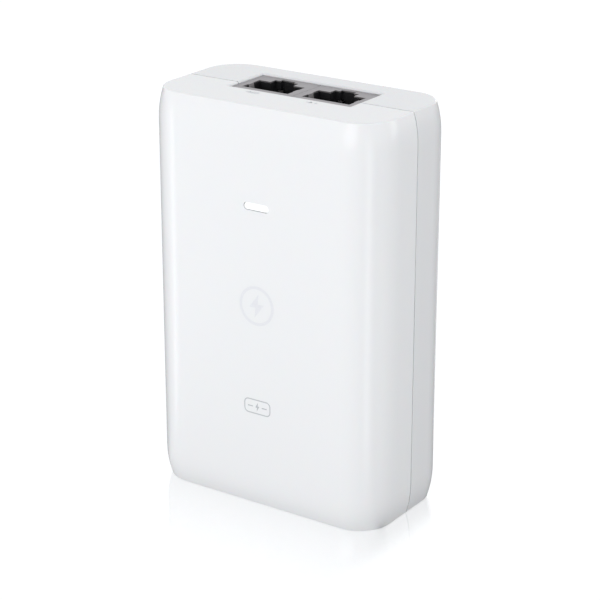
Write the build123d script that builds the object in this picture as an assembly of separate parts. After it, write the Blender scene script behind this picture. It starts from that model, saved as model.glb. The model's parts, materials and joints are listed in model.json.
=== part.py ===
from build123d import *
import os
from math import cos, radians, sin

# Mains-fed power-over-Ethernet injector, standing on its inlet end.
# Millimetres. +X is the width, -Y the front, +Z up; the origin is the middle of the base.

# ---- casing ----
case_width = 61.0
case_depth = 32.2
case_height = 93.0
case_edge_radius = 9.0      # upright edges, seen from above
case_wall = 2.0
end_inset = 1.15            # how far each end draws in towards its flat face
end_length = 7.2            # height over which it draws in
end_edge = 0.35             # small rounding at the flat end faces
seam_gap = 0.3              # visible groove between the two covers
tongue_reach = 1.6          # lap joint behind the groove
tongue_clearance = 0.08
fit_gap = 0.1               # clearance round pieces set in the covers
overrun = 1.0               # how far a cut runs past the surface it opens

# ---- snap hooks between the covers ----
hook_heights = (31.0, 62.0)
hook_width = 6.0
hook_thickness = 1.2
hook_root = 9.0             # how far in front of the seam the hook starts
hook_reach = 5.4            # how far behind the seam it ends
hook_barb = 0.75
hook_barb_length = 1.7
hook_gap = 0.15

# ---- slot for the wall bracket in the rear cover ----
slot_depth = 2.0
slot_skin = 1.4             # wall left in front of the slot
slot_mouth_width = 34.0
slot_flange_width = 37.0    # undercut behind the lips
slot_lip = 0.8              # thickness of the lips
slot_height = 70.0
slot_wall = 1.7             # side walls round the slot, inside the casing

# ---- wall bracket ----
bracket_gap_side = 0.2
bracket_gap_face = 0.15
bracket_bottom = 8.0
bracket_top_gap = 0.5
bracket_screw_radius = 2.1
bracket_screw_pitch = 40.0
bracket_head_radius = 3.6
bracket_head_depth = 0.7
bracket_corner = 0.8

# ---- rating label, left blank ----
label_width = 28.0
label_height = 12.0
label_thickness = 0.12
label_recess = 0.15
label_centre_drop = 12.0    # below the top of the casing
label_corner = 1.0

# ---- circuit board, upright behind the components ----
board_thickness = 1.6
board_side_gap = 2.5        # from the casing's inner side walls
board_bottom = 4.0
board_top_drop = 4.0        # below the top of the casing
board_corner = 2.0
sheet_thickness = 0.25
sheet_lift = 3.0            # bottom of the insulating sheet above the board's
tail_gap = 0.55             # from the solder tails to the insulating sheet
tail_length = 1.1           # solder tails behind the board
lead_radius = 0.4
lead_hole_gap = 0.1

# ---- board screws ----
screw_inset = 2.8           # from the board's side edges
screw_low = 24.5
screw_high_drop = 22.5      # below the top of the casing
screw_radius = 1.1
screw_thread_gap = 0.02
screw_hole_gap = 0.25
screw_head_radius = 2.2
screw_head_height = 1.5
screw_length = 3.0          # below the board's rear face
cross_length, cross_width, cross_depth = 2.2, 0.5, 0.6
boss_radius = 2.4

# ---- jacks, side by side in the top face ----
jack_pitch = 15.9
jack_width = 15.8
jack_depth = 13.05          # from the board out towards the front
jack_length = 18.05         # down into the casing
jack_recess = 0.45          # mating faces below the top face
jack_sheet = 0.3            # shield thickness
jack_gap = 0.05
recess_gap = 0.1
recess_chamfer = 0.3
plug_cut_width = 12.2       # opening in the shield
plug_width = 11.9           # opening in the insert
plug_height = 6.6
plug_length = 11.7          # depth of the opening
plug_front = 2.55           # from the jack's front face to the opening
latch_width = 6.2
latch_depth = 2.0
latch_slot_width = 3.6
latch_slot_depth = 2.9

# ---- shield springs and tabs ----
leaf_width = 2.0
leaf_offset = 2.15          # from the opening's front edge
leaf_sheet = 0.25
leaf_drop = 6.5
leaf_reach = 0.5            # how far the leaf stands into the opening
leaf_relief = 0.9
flap_height = 8.2           # folded flap on the board side
tongue_width = 1.0
tongue_offset = -1.85       # from the jack's middle
tongue_top = 2.2            # below the mating face
tongue_drop = 6.4
post_width = 1.5
post_gap = 0.15
post_drops = (12.5, 8.5)    # left and right, below the mating face

# ---- contacts of each jack ----
contact_count = 8
contact_pitch = 1.016
contact_size = 0.35
contact_bend_drop = 2.35    # bend below the mating face
contact_bend_depth = 1.8    # bend from the jack's front face
contact_back = 0.35         # fixed wire in front of the bend
contact_angle = 20.5        # slope of the sprung arm at rest
contact_length = 8.2
contact_rows = (17.2, 15.2) # solder rows below the mating face
comb_width = 8.6
comb_lip = 1.35
comb_front = 0.9            # comb space from the jack's front face
peg_radius = 1.4
peg_offset = 5.85
peg_drop = 13.0
peg_gap = 0.05

# ---- mains inlet, IEC 60320 C14 pattern ----
inlet_width = 27.8
inlet_depth = 19.6
inlet_height = 19.0
inlet_corner = 5.2          # bevelled corners on the earth side
inlet_board_gap = 0.2
inlet_cavity_width = 24.6
inlet_cavity_depth = 16.4
inlet_cavity_height = 16.0
inlet_flange = 1.4
inlet_flange_height = 1.5
inlet_flange_gap = 0.05
pin_width = 4.0
pin_thickness = 2.0
pin_spacing = 14.0
pin_offset = 4.0            # earth pin behind the line between the other two
pin_tip = 1.5               # tips above the base face
pin_tail = 1.2
pin_tail_rise = 1.5         # tails above the inlet body

# ---- status light ----
light_drop = 22.07          # below the top of the casing
light_width = 6.6
light_height = 1.7
light_sink = 0.3            # lens below the front face
light_rod_width = 4.0
light_rod_height = 1.5
light_flange = 1.0
light_flange_rim = 1.1
led_width = 3.2
led_height = 1.6
led_depth = 0.9
led_gap = 0.4

# ---- parts on the board: shared sizes ----
stand_off = 0.3             # bodies clear of the board
body_corner = 0.6           # rounded edges of moulded bodies
lead_root = 1.0             # leads start this far inside a body
disc_rise = 1.2             # dipped discs clear of the board
choke_gap = 0.1             # windings clear of the ring
choke_lead_x, choke_lead_z = 3.0, 6.0
choke_corner = 0.5
choke_turn_corner = 0.4
choke_base_width, choke_base_length = 10.0, 16.0
bridge_rise = 2.0
bridge_bevel = 2.0
can_corner = 0.5
can_groove_rise = 2.1       # beaded groove above the foot of a can
can_groove_width = 0.8
can_groove_depth = 0.35
can_vent = 0.3
sink_peg_inset = 2.0
package_lead_depth = 2.6    # leads behind the package's front face
nut_radius = 2.75
shank_past = 2.0            # screw past the heat sink
core_corner = 1.0
row_inset = 2.0
rail_inset = 1.5
winding_corner = 2.4
coupler_bevel = 0.4
coupler_rise = 0.4
coupler_lead_width, coupler_lead_thickness = 0.5, 0.3
drum_flange = 1.4
drum_waist = 0.5
wing_pitch = 1.27           # gull-wing leads of the chips
wing_width = 0.4
wing_thickness = 0.2
wing_shoulder = 0.5         # shoulder past the package
wing_reach = 1.0            # toe past the package
chip_stand = 0.1
chip_bevel = 0.25

# ---- places that follow from the sizes above ----
front_inner = case_wall - case_depth / 2
rear_inner = case_depth / 2 - case_wall
side_inner = case_width / 2 - case_wall
pad_face = case_depth / 2 - slot_depth - slot_skin
tail_tip = pad_face - sheet_thickness - tail_gap
board_back = tail_tip - tail_length
board_front = board_back - board_thickness
room = board_front - front_inner            # free depth in front of the board
board_half = side_inner - board_side_gap
board_top = case_height - board_top_drop
screw_x = board_half - screw_inset
screw_heights = (screw_low, case_height - screw_high_drop)
jack_top = case_height - jack_recess
jack_bottom = jack_top - jack_length
jack_front = board_front - jack_depth
jack_centres = (-jack_pitch / 2, jack_pitch / 2)
plug_y0 = jack_front + plug_front
plug_y1 = plug_y0 + plug_height
bend_y = jack_front + contact_bend_depth
bend_z = jack_top - contact_bend_drop
inlet_y1 = board_front - inlet_board_gap
inlet_y0 = inlet_y1 - inlet_depth
inlet_y = (inlet_y0 + inlet_y1) / 2
pin_y = inlet_y - pin_offset / 2
earth_y = inlet_y + pin_offset / 2
pin_tail_z = inlet_height + pin_tail_rise
light_z = case_height - light_drop
pins = ((-pin_spacing / 2, pin_y), (0.0, earth_y), (pin_spacing / 2, pin_y))

# ---- parts on the board: middle (x, z), sizes, and lead pitch ----
fuse_at, fuse_radius, fuse_height, fuse_pitch = (-20.2, 9.6), 4.2, 8.0, 5.08
varistor_at, varistor_radius, varistor_thickness, varistor_pitch = (-20.2, 18.2), 5.0, 4.0, 7.5
filter_at, filter_width, filter_length, filter_height = (20.4, 13.6), 9.6, 17.0, 15.0
filter_pitch = 15.0
choke_at, choke_radius, choke_bore, choke_width = (-19.2, 36.3), 8.0, 4.2, 8.0
choke_wire, choke_turns, choke_step, choke_foot = 0.8, 8, 19.0, 0.9
bridge_at, bridge_width, bridge_length, bridge_height = (-9.4, 36.3), 3.5, 15.0, 10.0
bridge_pitch = 3.81
reservoir_at, reservoir_radius, reservoir_clearance, reservoir_pitch = (17.3, 36.2), 8.0, 3.4, 7.5
switch_sink_x, switch_z = 2.2, 36.3
rectifier_sink_x, rectifier_z = 24.2, 56.0
sink_thickness, sink_length, sink_clearance, sink_fold = 1.5, 16.0, 2.2, 5.6
sink_foot = 0.3
package_width, package_thickness, package_body, package_tab = 10.0, 4.4, 9.0, 6.3
package_tab_thickness, package_pitch, package_rise = 1.3, 2.54, 3.4
pad_thickness, pad_border = 0.2, 0.8
device_screw_radius, device_head_radius, device_head_height = 1.45, 2.7, 1.8
device_hole_gap, device_nut_height = 0.3, 1.8
transformer_at = (-9.2, 56.2)
core_width, core_length, core_depth, core_leg, core_back, core_limb = 24.0, 20.0, 8.0, 4.0, 4.0, 7.0
bobbin_wall, bobbin_gap, bobbin_flange, bobbin_reach = 0.8, 0.1, 0.8, 4.3
bobbin_foot, bobbin_rail = 0.3, 3.6
bobbin_pins, bobbin_pin_pitch = 4, 5.0
winding_gap, winding_margin = 0.05, 0.4
coupler_at, coupler_width, coupler_length, coupler_height = (7.5, 50.2), 4.6, 6.5, 3.4
coupler_pitch, coupler_row = 2.54, 7.62
bridge_cap_at, bridge_cap_radius, bridge_cap_thickness, bridge_cap_pitch = (7.4, 57.6), 3.8, 3.4, 5.08
smoothing_at = ((15.3, 50.6), (15.3, 59.6))
smoothing_radius, smoothing_height, smoothing_pitch = 4.0, 16.0, 3.5
drum_at, drum_radius, drum_height, drum_pitch = (15.6, 68.4), 3.9, 9.0, 5.0
controller_at, controller_size = (11.0, 24.4), (3.9, 4.9, 1.5)
port_chip_at, port_chip_size = (7.6, 65.0), (6.0, 6.0, 1.0)
magnetics_gap, magnetics_drop, magnetics_size = 5.25, 11.5, (7.0, 12.0, 6.0)
magnetics_x = (jack_pitch + jack_width) / 2 + magnetics_gap     # clear of the jacks' sides
surge_xs, surge_drop, surge_size = (-18.0, -13.0, -8.0, 7.6), 22.4, (4.4, 3.6, 2.2)
chip_size = (2.0, 1.25, 0.6)
chip_rows = ((-18.0, 24.8), (-14.5, 24.8), (-11.0, 24.8), (-3.5, 24.8), (3.5, 24.8))
chip_port_xs = (-18.0, -14.0, -10.0, -6.0, 6.0, 10.0, 19.5)
chip_port_drop = 19.75


# ---- small helpers ----

def block(x0, x1, y0, y1, z0, z1):
    """Box between two corners."""
    middle = Pos((x0 + x1) / 2, (y0 + y1) / 2, (z0 + z1) / 2)
    return middle * Box(x1 - x0, y1 - y0, z1 - z0)


def rod_y(x, z, radius, y0, y1):
    """Round bar along Y."""
    return Pos(x, (y0 + y1) / 2, z) * Rot(90, 0, 0) * Cylinder(radius, y1 - y0)


def rod_x(y, z, radius, x0, x1):
    """Round bar along X."""
    return Pos((x0 + x1) / 2, y, z) * Rot(0, 90, 0) * Cylinder(radius, x1 - x0)


def leads(points, y0):
    """Wire leads from y0 through the board."""
    return [rod_y(x, z, lead_radius, y0, tail_tip) for x, z in points]


def pair(at, pitch, along="x"):
    """Two lead places about a middle."""
    x, z = at
    if along == "x":
        return [(x - pitch / 2, z), (x + pitch / 2, z)]
    return [(x, z - pitch / 2), (x, z + pitch / 2)]


def pill_prism(width, height, z, y0, y1):
    """Bar along Y with fully rounded ends."""
    outline = Plane.XZ.offset(-y1) * (Pos(0, z) * SlotOverall(width, height))
    return extrude(outline, y1 - y0)


# ---- casing ----

def rim_section(radius, z0, z1):
    """Upright section of the casing's rounded rim, from its centre line to the wall."""
    neck = radius - end_inset
    outline = Curve() + [
        Line((0, z0), (neck, z0)),
        TangentArc((radius, z0 + end_length), (neck, z0), tangent=(0, -1)),
        Line((radius, z0 + end_length), (radius, z1 - end_length)),
        TangentArc((radius, z1 - end_length), (neck, z1), tangent=(0, 1)),
        Line((neck, z1), (0, z1)),
        Line((0, z1), (0, z0)),
    ]
    section = make_face(outline)
    corners = [v for v in section.vertices() if abs(v.X - neck) < 1e-6]
    return Plane.XZ * fillet(corners, end_edge)


def pillow(offset):
    """The casing's outer form, drawn in by offset on every side."""
    reach_x = case_width / 2 - case_edge_radius
    reach_y = case_depth / 2 - case_edge_radius
    z0, z1 = offset, case_height - offset
    rim = rim_section(case_edge_radius - offset, z0, z1)
    body = block(-reach_x, reach_x, -reach_y, reach_y, z0, z1)
    side = extrude(rim, reach_y, both=True)
    face = extrude(rim, reach_x, both=True)
    corner = revolve(rim, Axis.Z, 90)
    for turn in (0, 180):
        body += Rot(0, 0, turn) * Pos(reach_x, 0, 0) * side
        body += Rot(0, 0, turn + 90) * Pos(reach_y, 0, 0) * face
        body += Rot(0, 0, turn) * Pos(reach_x, reach_y, 0) * corner
        body += Rot(0, 0, turn) * Pos(-reach_x, reach_y, 0) * Rot(0, 0, 90) * corner
    return body


def slab(y0, y1):
    """Everything between two upright planes across the casing."""
    return block(-case_width, case_width, y0, y1, -case_height, 2 * case_height)


def top_recess():
    """Opening for the two jacks, with softened edges."""
    half = jack_pitch / 2 + jack_width / 2 + recess_gap
    y0, y1 = jack_front - recess_gap, board_front + recess_gap
    hole = block(-half, half, y0, y1, jack_bottom, case_height + overrun)
    grow = recess_chamfer
    outline = Pos(0, (y0 + y1) / 2) * Rectangle(2 * half, y1 - y0)
    wide = Pos(0, (y0 + y1) / 2) * Rectangle(2 * (half + grow), y1 - y0 + 2 * grow)
    flare = loft([Pos(0, 0, case_height - grow) * outline, Pos(0, 0, case_height) * wide])
    return hole + flare


def inlet_outline(width, depth, corner):
    """Inlet seen from below, bevelled on the earth side."""
    x, y = width / 2, depth / 2
    points = [(-x, -y), (x, -y), (x, y - corner), (x - corner, y), (corner - x, y), (-x, y - corner)]
    return Pos(0, inlet_y) * make_face(Polyline(*points, close=True))


def inlet_opening():
    """Hole in the base for the mains inlet."""
    outline = inlet_outline(inlet_width + 2 * fit_gap, inlet_depth + 2 * fit_gap, inlet_corner)
    return Pos(0, 0, -overrun) * extrude(outline, case_wall + 2 * overrun)


def snap_hook(side, z):
    """Hook on the front cover that clicks into the rear cover."""
    x1 = side_inner - hook_gap
    x0 = x1 - hook_thickness
    z0, z1 = z - hook_width / 2, z + hook_width / 2
    arm = block(x0, x1, -hook_root, hook_reach, z0, z1)
    arm += block(x0, side_inner + case_wall / 2, -hook_root, -tongue_reach, z0, z1)
    start = hook_reach - hook_barb_length
    points = [(x1, start), (x1 + hook_barb, start), (x1, hook_reach)]
    barb = extrude(make_face(Polyline(*points, close=True)), hook_width)
    arm += Pos(0, 0, z0) * barb
    return arm if side > 0 else mirror(arm, Plane.YZ)


def hook_pocket(side, z):
    """Pocket in the rear cover's side wall that holds a hook's barb."""
    x0 = side_inner - hook_gap
    x1 = side_inner + hook_barb
    half = hook_width / 2 + hook_gap
    start = hook_reach - hook_barb_length - fit_gap
    cut = block(x0, x1, start, hook_reach + hook_gap, z - half, z + half)
    return cut if side > 0 else mirror(cut, Plane.YZ)


def front_cover():
    """Front half of the casing, with the tongue of the lap joint and four snap hooks."""
    cavity = pillow(case_wall)
    cover = (pillow(0) - cavity) & slab(-case_depth, -seam_gap / 2)
    middle = case_wall / 2
    tongue = (pillow(middle) - cavity) & slab(-tongue_reach, tongue_reach)
    cover += tongue
    for side in (-1, 1):
        for z in hook_heights:
            cover += snap_hook(side, z)
    cover -= top_recess()
    cover -= inlet_opening()
    cover -= pill_prism(light_width, light_height, light_z, -case_depth, 0)
    return cover


def slot_cut():
    """T-shaped slot for the wall bracket, open at the base."""
    back = case_depth / 2
    floor = back - slot_depth
    wide = slot_mouth_width / 2
    mouth = block(-wide, wide, floor, back + overrun, -overrun, slot_height)
    half = slot_flange_width / 2
    undercut = block(-half, half, floor, back - slot_lip, -overrun, slot_height)
    return mouth + undercut


def board_bosses(outer):
    """Four bosses that the board is screwed to."""
    bosses = []
    for side in (-1, 1):
        for z in screw_heights:
            boss = rod_y(side * screw_x, z, boss_radius, board_back, case_depth / 2)
            bosses.append(boss & outer)
    return bosses


def rear_cover():
    """Rear half of the casing, with the bracket slot, the board bosses and hook pockets."""
    outer = pillow(0)
    cover = outer - pillow(case_wall)
    half = slot_flange_width / 2 + slot_wall
    pad = block(-half, half, pad_face, case_depth / 2, 0, slot_height + slot_wall)
    cover += pad & pillow(case_wall / 2)
    for boss in board_bosses(pillow(case_wall / 2)):
        cover += boss
    cover &= slab(seam_gap / 2, case_depth)
    lap = pillow(case_wall / 2 - tongue_clearance) & slab(0, tongue_reach + fit_gap)
    cover -= lap
    cover -= slot_cut()
    for side in (-1, 1):
        for z in hook_heights:
            cover -= hook_pocket(side, z)
        for z in screw_heights:
            depth = board_back + screw_length + fit_gap
            thread = screw_radius + screw_thread_gap
            cover -= rod_y(side * screw_x, z, thread, board_back - overrun, depth)
    z = case_height - label_centre_drop
    back = case_depth / 2
    x = label_width / 2 + fit_gap
    y = label_height / 2 + fit_gap
    cover -= block(-x, x, back - label_recess, back + overrun, z - y, z + y)
    cover -= top_recess()
    cover -= inlet_opening()
    return cover


def rating_label():
    """Blank label in its shallow recess above the bracket slot."""
    z = case_height - label_centre_drop
    y0 = case_depth / 2 - label_recess
    shape = Pos(0, z) * RectangleRounded(label_width, label_height, label_corner)
    return extrude(Plane.XZ.offset(-y0) * shape, -label_thickness)


def wall_bracket():
    """Flanged plate that the casing slides down onto, with two screw holes."""
    back = case_depth / 2
    face = back - slot_depth + bracket_gap_face
    step = back - slot_lip - bracket_gap_face
    top = slot_height - bracket_top_gap
    wide = slot_flange_width / 2 - bracket_gap_side
    slim = slot_mouth_width / 2 - bracket_gap_side
    plate = block(-wide, wide, face, step, bracket_bottom, top)
    plate += block(-slim, slim, step, back, bracket_bottom, top)
    plate = fillet(plate.edges().filter_by(Axis.Y), bracket_corner)
    middle = (bracket_bottom + top) / 2
    for z in (middle - bracket_screw_pitch / 2, middle + bracket_screw_pitch / 2):
        plate -= rod_y(0, z, bracket_screw_radius, face - overrun, back)
        plate -= rod_y(0, z, bracket_head_radius, face - overrun, face + bracket_head_depth)
    return plate


# ---- status light ----

def light_pipe():
    """Lens in the front cover, its flange and the rod back to the LED."""
    front = -case_depth / 2 + light_sink
    flange_y = front_inner + light_flange
    gap = 2 * fit_gap
    lens = pill_prism(light_width - gap, light_height - gap, light_z, front, flange_y)
    rim = 2 * light_flange_rim
    flange = pill_prism(light_width + rim, light_height + rim, light_z, front_inner, flange_y)
    end = board_front - led_depth - led_gap
    half = light_rod_width / 2
    rise = light_rod_height / 2
    rod = block(-half, half, flange_y - light_flange / 2, end, light_z - rise, light_z + rise)
    return lens + flange + rod


def status_led():
    """Surface-mounted LED behind the light pipe."""
    half, rise = led_width / 2, led_height / 2
    body = block(-half, half, board_front - led_depth, board_front, light_z - rise, light_z + rise)
    return chamfer(body.edges().filter_by(Axis.Z).group_by(Axis.Y)[0], led_depth / 4)


# ---- jacks ----

def plug_outline(width, grow):
    """Plug opening with its stepped latch notch, seen from above."""
    middle = (plug_y0 + plug_y1) / 2
    shape = Pos(0, middle) * Rectangle(width, plug_height + 2 * grow)
    for notch_width, depth in ((latch_width, latch_depth), (latch_slot_width, latch_slot_depth)):
        y1 = plug_y1 + depth + grow
        shape += Pos(0, (middle + y1) / 2) * Rectangle(notch_width + 2 * grow, y1 - middle)
    return shape


def ground_leaf(side):
    """Ground spring folded in from one side of the opening."""
    edge = plug_cut_width / 2
    z = jack_top
    path = Polyline(
        (edge + 0.4, z - leaf_sheet / 2),
        (edge - 0.1, z - leaf_sheet / 2),
        (edge - leaf_reach, z - leaf_drop / 2),
        (edge - 0.1, z - leaf_drop),
    )
    strip = trace(path, leaf_sheet)
    y0 = plug_y0 + leaf_offset
    leaf = extrude(Plane.XZ.offset(-y0) * strip, -leaf_width)
    return leaf if side > 0 else mirror(leaf, Plane.YZ)


def latch_tongue():
    """Narrow tab folded in from the flap, standing in the latch notch."""
    z1 = jack_top - tongue_top
    z0 = z1 - tongue_drop + 2 * jack_sheet
    y0 = plug_y1 + latch_depth
    x0, x1 = tongue_offset - tongue_width / 2, tongue_offset + tongue_width / 2
    upright = block(x0, x1, y0, y0 + jack_sheet, z0, z1)
    foot = block(x0, x1, y0, board_front - jack_sheet / 2, z0, z0 + jack_sheet)
    return upright + foot


def jack_shield():
    """Folded can of one jack about x = 0."""
    half, sheet = jack_width / 2, jack_sheet
    can = block(-half, half, jack_front, board_front, jack_bottom, jack_top)
    upright = can.edges().filter_by(Axis.Z)
    can = fillet(upright, sheet)
    inner = half - sheet
    y0, y1 = jack_front + sheet, board_front - sheet
    floor = jack_bottom + sheet
    can -= block(-inner, inner, y0, y1, floor, jack_top - sheet)
    can -= block(-inner, inner, y1 - sheet, board_front + overrun, floor, jack_top - flap_height)
    can -= extrude(Pos(0, 0, jack_top - 2 * sheet) * plug_outline(plug_cut_width, 0), 3 * sheet)
    for side in (-1, 1):
        can += ground_leaf(side)
    can += latch_tongue()
    for side, drop in zip((-1, 1), post_drops):
        x0, x1 = sorted((side * inner, side * half))
        z = jack_top - drop
        can += block(x0, x1, board_front - overrun, tail_tip, z - post_width / 2, z + post_width / 2)
    return can


def jack_insert():
    """Black moulded insert of one jack about x = 0."""
    sheet, gap = jack_sheet, jack_gap
    half = jack_width / 2 - sheet - gap
    y0, y1 = jack_front + sheet + gap, board_front - sheet - gap
    top, bottom = jack_top - sheet - gap, jack_bottom + sheet + gap
    body = block(-half, half, y0, y1, bottom, top)
    floor = jack_top - plug_length
    body -= extrude(Pos(0, 0, floor) * plug_outline(plug_width, gap), plug_length)
    comb = comb_width / 2
    comb_y = jack_front + comb_front
    body -= block(-comb, comb, comb_y, plug_y0 + overrun, floor, jack_top - comb_lip)
    body -= block(-comb, comb, comb_y, bend_y, bottom - overrun, floor + overrun)
    chamber = jack_top - contact_rows[1] + 2 * contact_size + gap
    body -= block(-comb, comb, comb_y, y1 + overrun, bottom - overrun, chamber)
    relief = plug_width / 2 + leaf_relief
    leaf_y = plug_y0 + leaf_offset
    leaf_end = leaf_y + leaf_width + 3 * gap
    body -= block(-relief, relief, leaf_y - 3 * gap, leaf_end, jack_top - leaf_drop - overrun, jack_top)
    x0, x1 = tongue_offset - tongue_width / 2 - gap, tongue_offset + tongue_width / 2 + gap
    slot_z = jack_top - tongue_top - tongue_drop
    slot_y = plug_y1 + latch_depth - gap
    body -= block(x0, x1, slot_y, y1 + overrun, slot_z, jack_top - tongue_top + 2 * gap)
    for side in (-1, 1):
        body += rod_y(side * peg_offset, jack_top - peg_drop, peg_radius, y1 - overrun, tail_tip)
    return body


def contact_x(index):
    """Place of one contact across its jack."""
    return (index - (contact_count - 1) / 2) * contact_pitch


def contact_tails():
    """Fixed ends of the eight contacts of one jack, down and back into the board."""
    tails = []
    size = contact_size
    y0 = bend_y - size / 2 - contact_back - size / 2
    for index in range(contact_count):
        x0 = contact_x(index) - size / 2
        z0 = jack_top - contact_rows[index % 2]
        wire = block(x0, x0 + size, y0, y0 + size, z0, bend_z)
        wire += block(x0, x0 + size, y0, tail_tip, z0, z0 + size)
        tails.append(wire)
    return tails


def contact_arms():
    """Sprung ends of the eight contacts of one jack, sloping back into the opening."""
    size = contact_size
    arms = []
    slope = radians(contact_angle)
    tip_y = bend_y + contact_length * sin(slope)
    tip_z = bend_z - contact_length * cos(slope)
    for index in range(contact_count):
        x = contact_x(index)
        middle = Pos(x, (bend_y + tip_y) / 2, (bend_z + tip_z) / 2)
        bar = middle * Rot(contact_angle, 0, 0) * Box(size, size, contact_length)
        knuckle = rod_x(bend_y, bend_z, size / 2, x - size / 2, x + size / 2)
        tip = rod_x(tip_y, tip_z, size / 2, x - size / 2, x + size / 2)
        arms.append(bar + knuckle + tip)
    return arms


# ---- mains inlet ----

def inlet_body():
    """Moulded shroud of the mains inlet, flush with the base."""
    body = extrude(inlet_outline(inlet_width, inlet_depth, inlet_corner), inlet_height)
    wide = inlet_outline(inlet_width + 2 * inlet_flange, inlet_depth + 2 * inlet_flange, inlet_corner)
    flange_z = case_wall + inlet_flange_gap
    flange = extrude(Pos(0, 0, flange_z) * wide, inlet_flange_height)
    body += flange & slab(front_inner + fit_gap, board_back)
    cavity = inlet_outline(inlet_cavity_width, inlet_cavity_depth, inlet_corner - fit_gap)
    body -= extrude(Pos(0, 0, -overrun) * cavity, inlet_cavity_height + overrun)
    x, y = pin_thickness / 2, pin_width / 2
    z0, z1 = inlet_cavity_height - overrun, inlet_height + overrun
    for px, py in pins:
        body -= block(px - x, px + x, py - y, py + y, z0, z1)
    return body


def inlet_pins():
    """Three flat pins with square tails that turn back into the board."""
    solids = []
    x, y, tail = pin_thickness / 2, pin_width / 2, pin_tail / 2
    for px, py in pins:
        blade = block(px - x, px + x, py - y, py + y, pin_tip, inlet_height)
        tip_edges = blade.edges().group_by(Axis.Z)[0]
        blade = chamfer(tip_edges, pin_thickness / 5)
        riser = block(px - tail, px + tail, py - tail, py + tail, inlet_height, pin_tail_z + tail)
        back = block(px - tail, px + tail, py - tail, tail_tip, pin_tail_z - tail, pin_tail_z + tail)
        solids.append(blade + riser + back)
    return solids


# ---- circuit board ----

def all_leads():
    """Middle of every wire lead that passes through the board."""
    points = pair(fuse_at, fuse_pitch)
    points += pair(varistor_at, varistor_pitch)
    points += pair(filter_at, filter_pitch, "z")
    points += choke_leads()
    points += bridge_leads()
    points += pair(reservoir_at, reservoir_pitch)
    points += package_leads(switch_sink_x, switch_z) + sink_leads(switch_sink_x, switch_z)
    points += package_leads(rectifier_sink_x, rectifier_z) + sink_leads(rectifier_sink_x, rectifier_z)
    points += transformer_leads()
    points += coupler_leads()
    points += pair(bridge_cap_at, bridge_cap_pitch)
    for at in smoothing_at:
        points += pair(at, smoothing_pitch)
    points += pair(drum_at, drum_pitch)
    return points


def main_board():
    """Circuit board with every hole for leads, pins, posts, pegs and screws."""
    board = block(-board_half, board_half, board_front, board_back, board_bottom, board_top)
    board = chamfer(board.edges().filter_by(Axis.Y), board_corner)
    y0, y1 = board_front - overrun, board_back + overrun
    cuts = [rod_y(x, z, lead_radius + lead_hole_gap, y0, y1) for x, z in all_leads()]
    for px, _ in pins:
        half = pin_tail / 2 + lead_hole_gap
        cuts.append(block(px - half, px + half, y0, y1, pin_tail_z - half, pin_tail_z + half))
    for side in (-1, 1):
        for z in screw_heights:
            cuts.append(rod_y(side * screw_x, z, screw_radius + screw_hole_gap, y0, y1))
    for centre in jack_centres:
        for index in range(contact_count):
            z = jack_top - contact_rows[index % 2] + contact_size / 2
            cuts.append(rod_y(centre + contact_x(index), z, contact_size, y0, y1))
        for side, drop in zip((-1, 1), post_drops):
            peg_x = centre + side * peg_offset
            cuts.append(rod_y(peg_x, jack_top - peg_drop, peg_radius + peg_gap, y0, y1))
            x = centre + side * (jack_width - jack_sheet) / 2
            half_x = jack_sheet / 2 + post_gap
            half_z = post_width / 2 + post_gap
            z = jack_top - drop
            cuts.append(block(x - half_x, x + half_x, y0, y1, z - half_z, z + half_z))
    return board - cuts


def board_screws():
    """Four pan-head screws that hold the board on its bosses."""
    screws = []
    for side in (-1, 1):
        for z in screw_heights:
            x = side * screw_x
            shank = rod_y(x, z, screw_radius, board_front - fit_gap, board_back + screw_length)
            head = rod_y(x, z, screw_head_radius, board_front - screw_head_height, board_front)
            rim = head.edges().group_by(Axis.Y)[0]
            head = fillet(rim, screw_head_height / 3)
            cross = Box(cross_length, 2 * cross_depth, cross_width)
            cross += Box(cross_width, 2 * cross_depth, cross_length)
            cross = Pos(x, board_front - screw_head_height, z) * cross
            screws.append(shank + head - cross)
    return screws


def insulating_sheet():
    """Insulating sheet on the inside of the slot, behind the solder tails."""
    half = slot_flange_width / 2
    bottom = board_bottom + sheet_lift
    return block(-half, half, pad_face - sheet_thickness, pad_face, bottom, slot_height)


# ---- mains side ----

def fuse():
    """Round plug-in fuse."""
    x, z = fuse_at
    top = board_front - fuse_height
    body = rod_y(x, z, fuse_radius, top, board_front - stand_off)
    body = fillet(body.edges().group_by(Axis.Y)[0], body_corner)
    return body + leads(pair(fuse_at, fuse_pitch), board_front - lead_root)


def disc_part(at, radius, thickness, pitch):
    """Disc standing on two leads, its faces up and down the board."""
    x, z = at
    y = board_front - radius - disc_rise
    disc = Pos(x, y, z) * Cylinder(radius, thickness)
    disc = fillet(disc.edges(), thickness / 3)
    return disc + leads(pair(at, pitch), y + radius / 3)


def film_capacitor():
    """Mains filter capacitor in a moulded box."""
    x, z = filter_at
    y0, y1 = board_front - filter_height, board_front - stand_off
    half, rise = filter_width / 2, filter_length / 2
    box = block(x - half, x + half, y0, y1, z - rise, z + rise)
    box = fillet(box.edges().filter_by(Axis.Y), body_corner)
    return box + leads(pair(filter_at, filter_pitch, "z"), board_front - lead_root)


def choke_middle():
    """Centre of the toroid."""
    x, z = choke_at
    return x, board_front - choke_foot - choke_wire - 2 * choke_gap - choke_radius, z


def choke_leads():
    """Four leads of the common-mode choke."""
    x, z = choke_at
    return [(x + sx * choke_lead_x, z + sz * choke_lead_z) for sx in (-1, 1) for sz in (-1, 1)]


def choke_core():
    """Ferrite ring with its axis along X."""
    ring = Cylinder(choke_radius, choke_width) - Cylinder(choke_bore, choke_width)
    ring = fillet(ring.edges().filter_by(GeomType.CIRCLE), choke_corner)
    return Pos(*choke_middle()) * Rot(0, 90, 0) * ring


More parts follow.
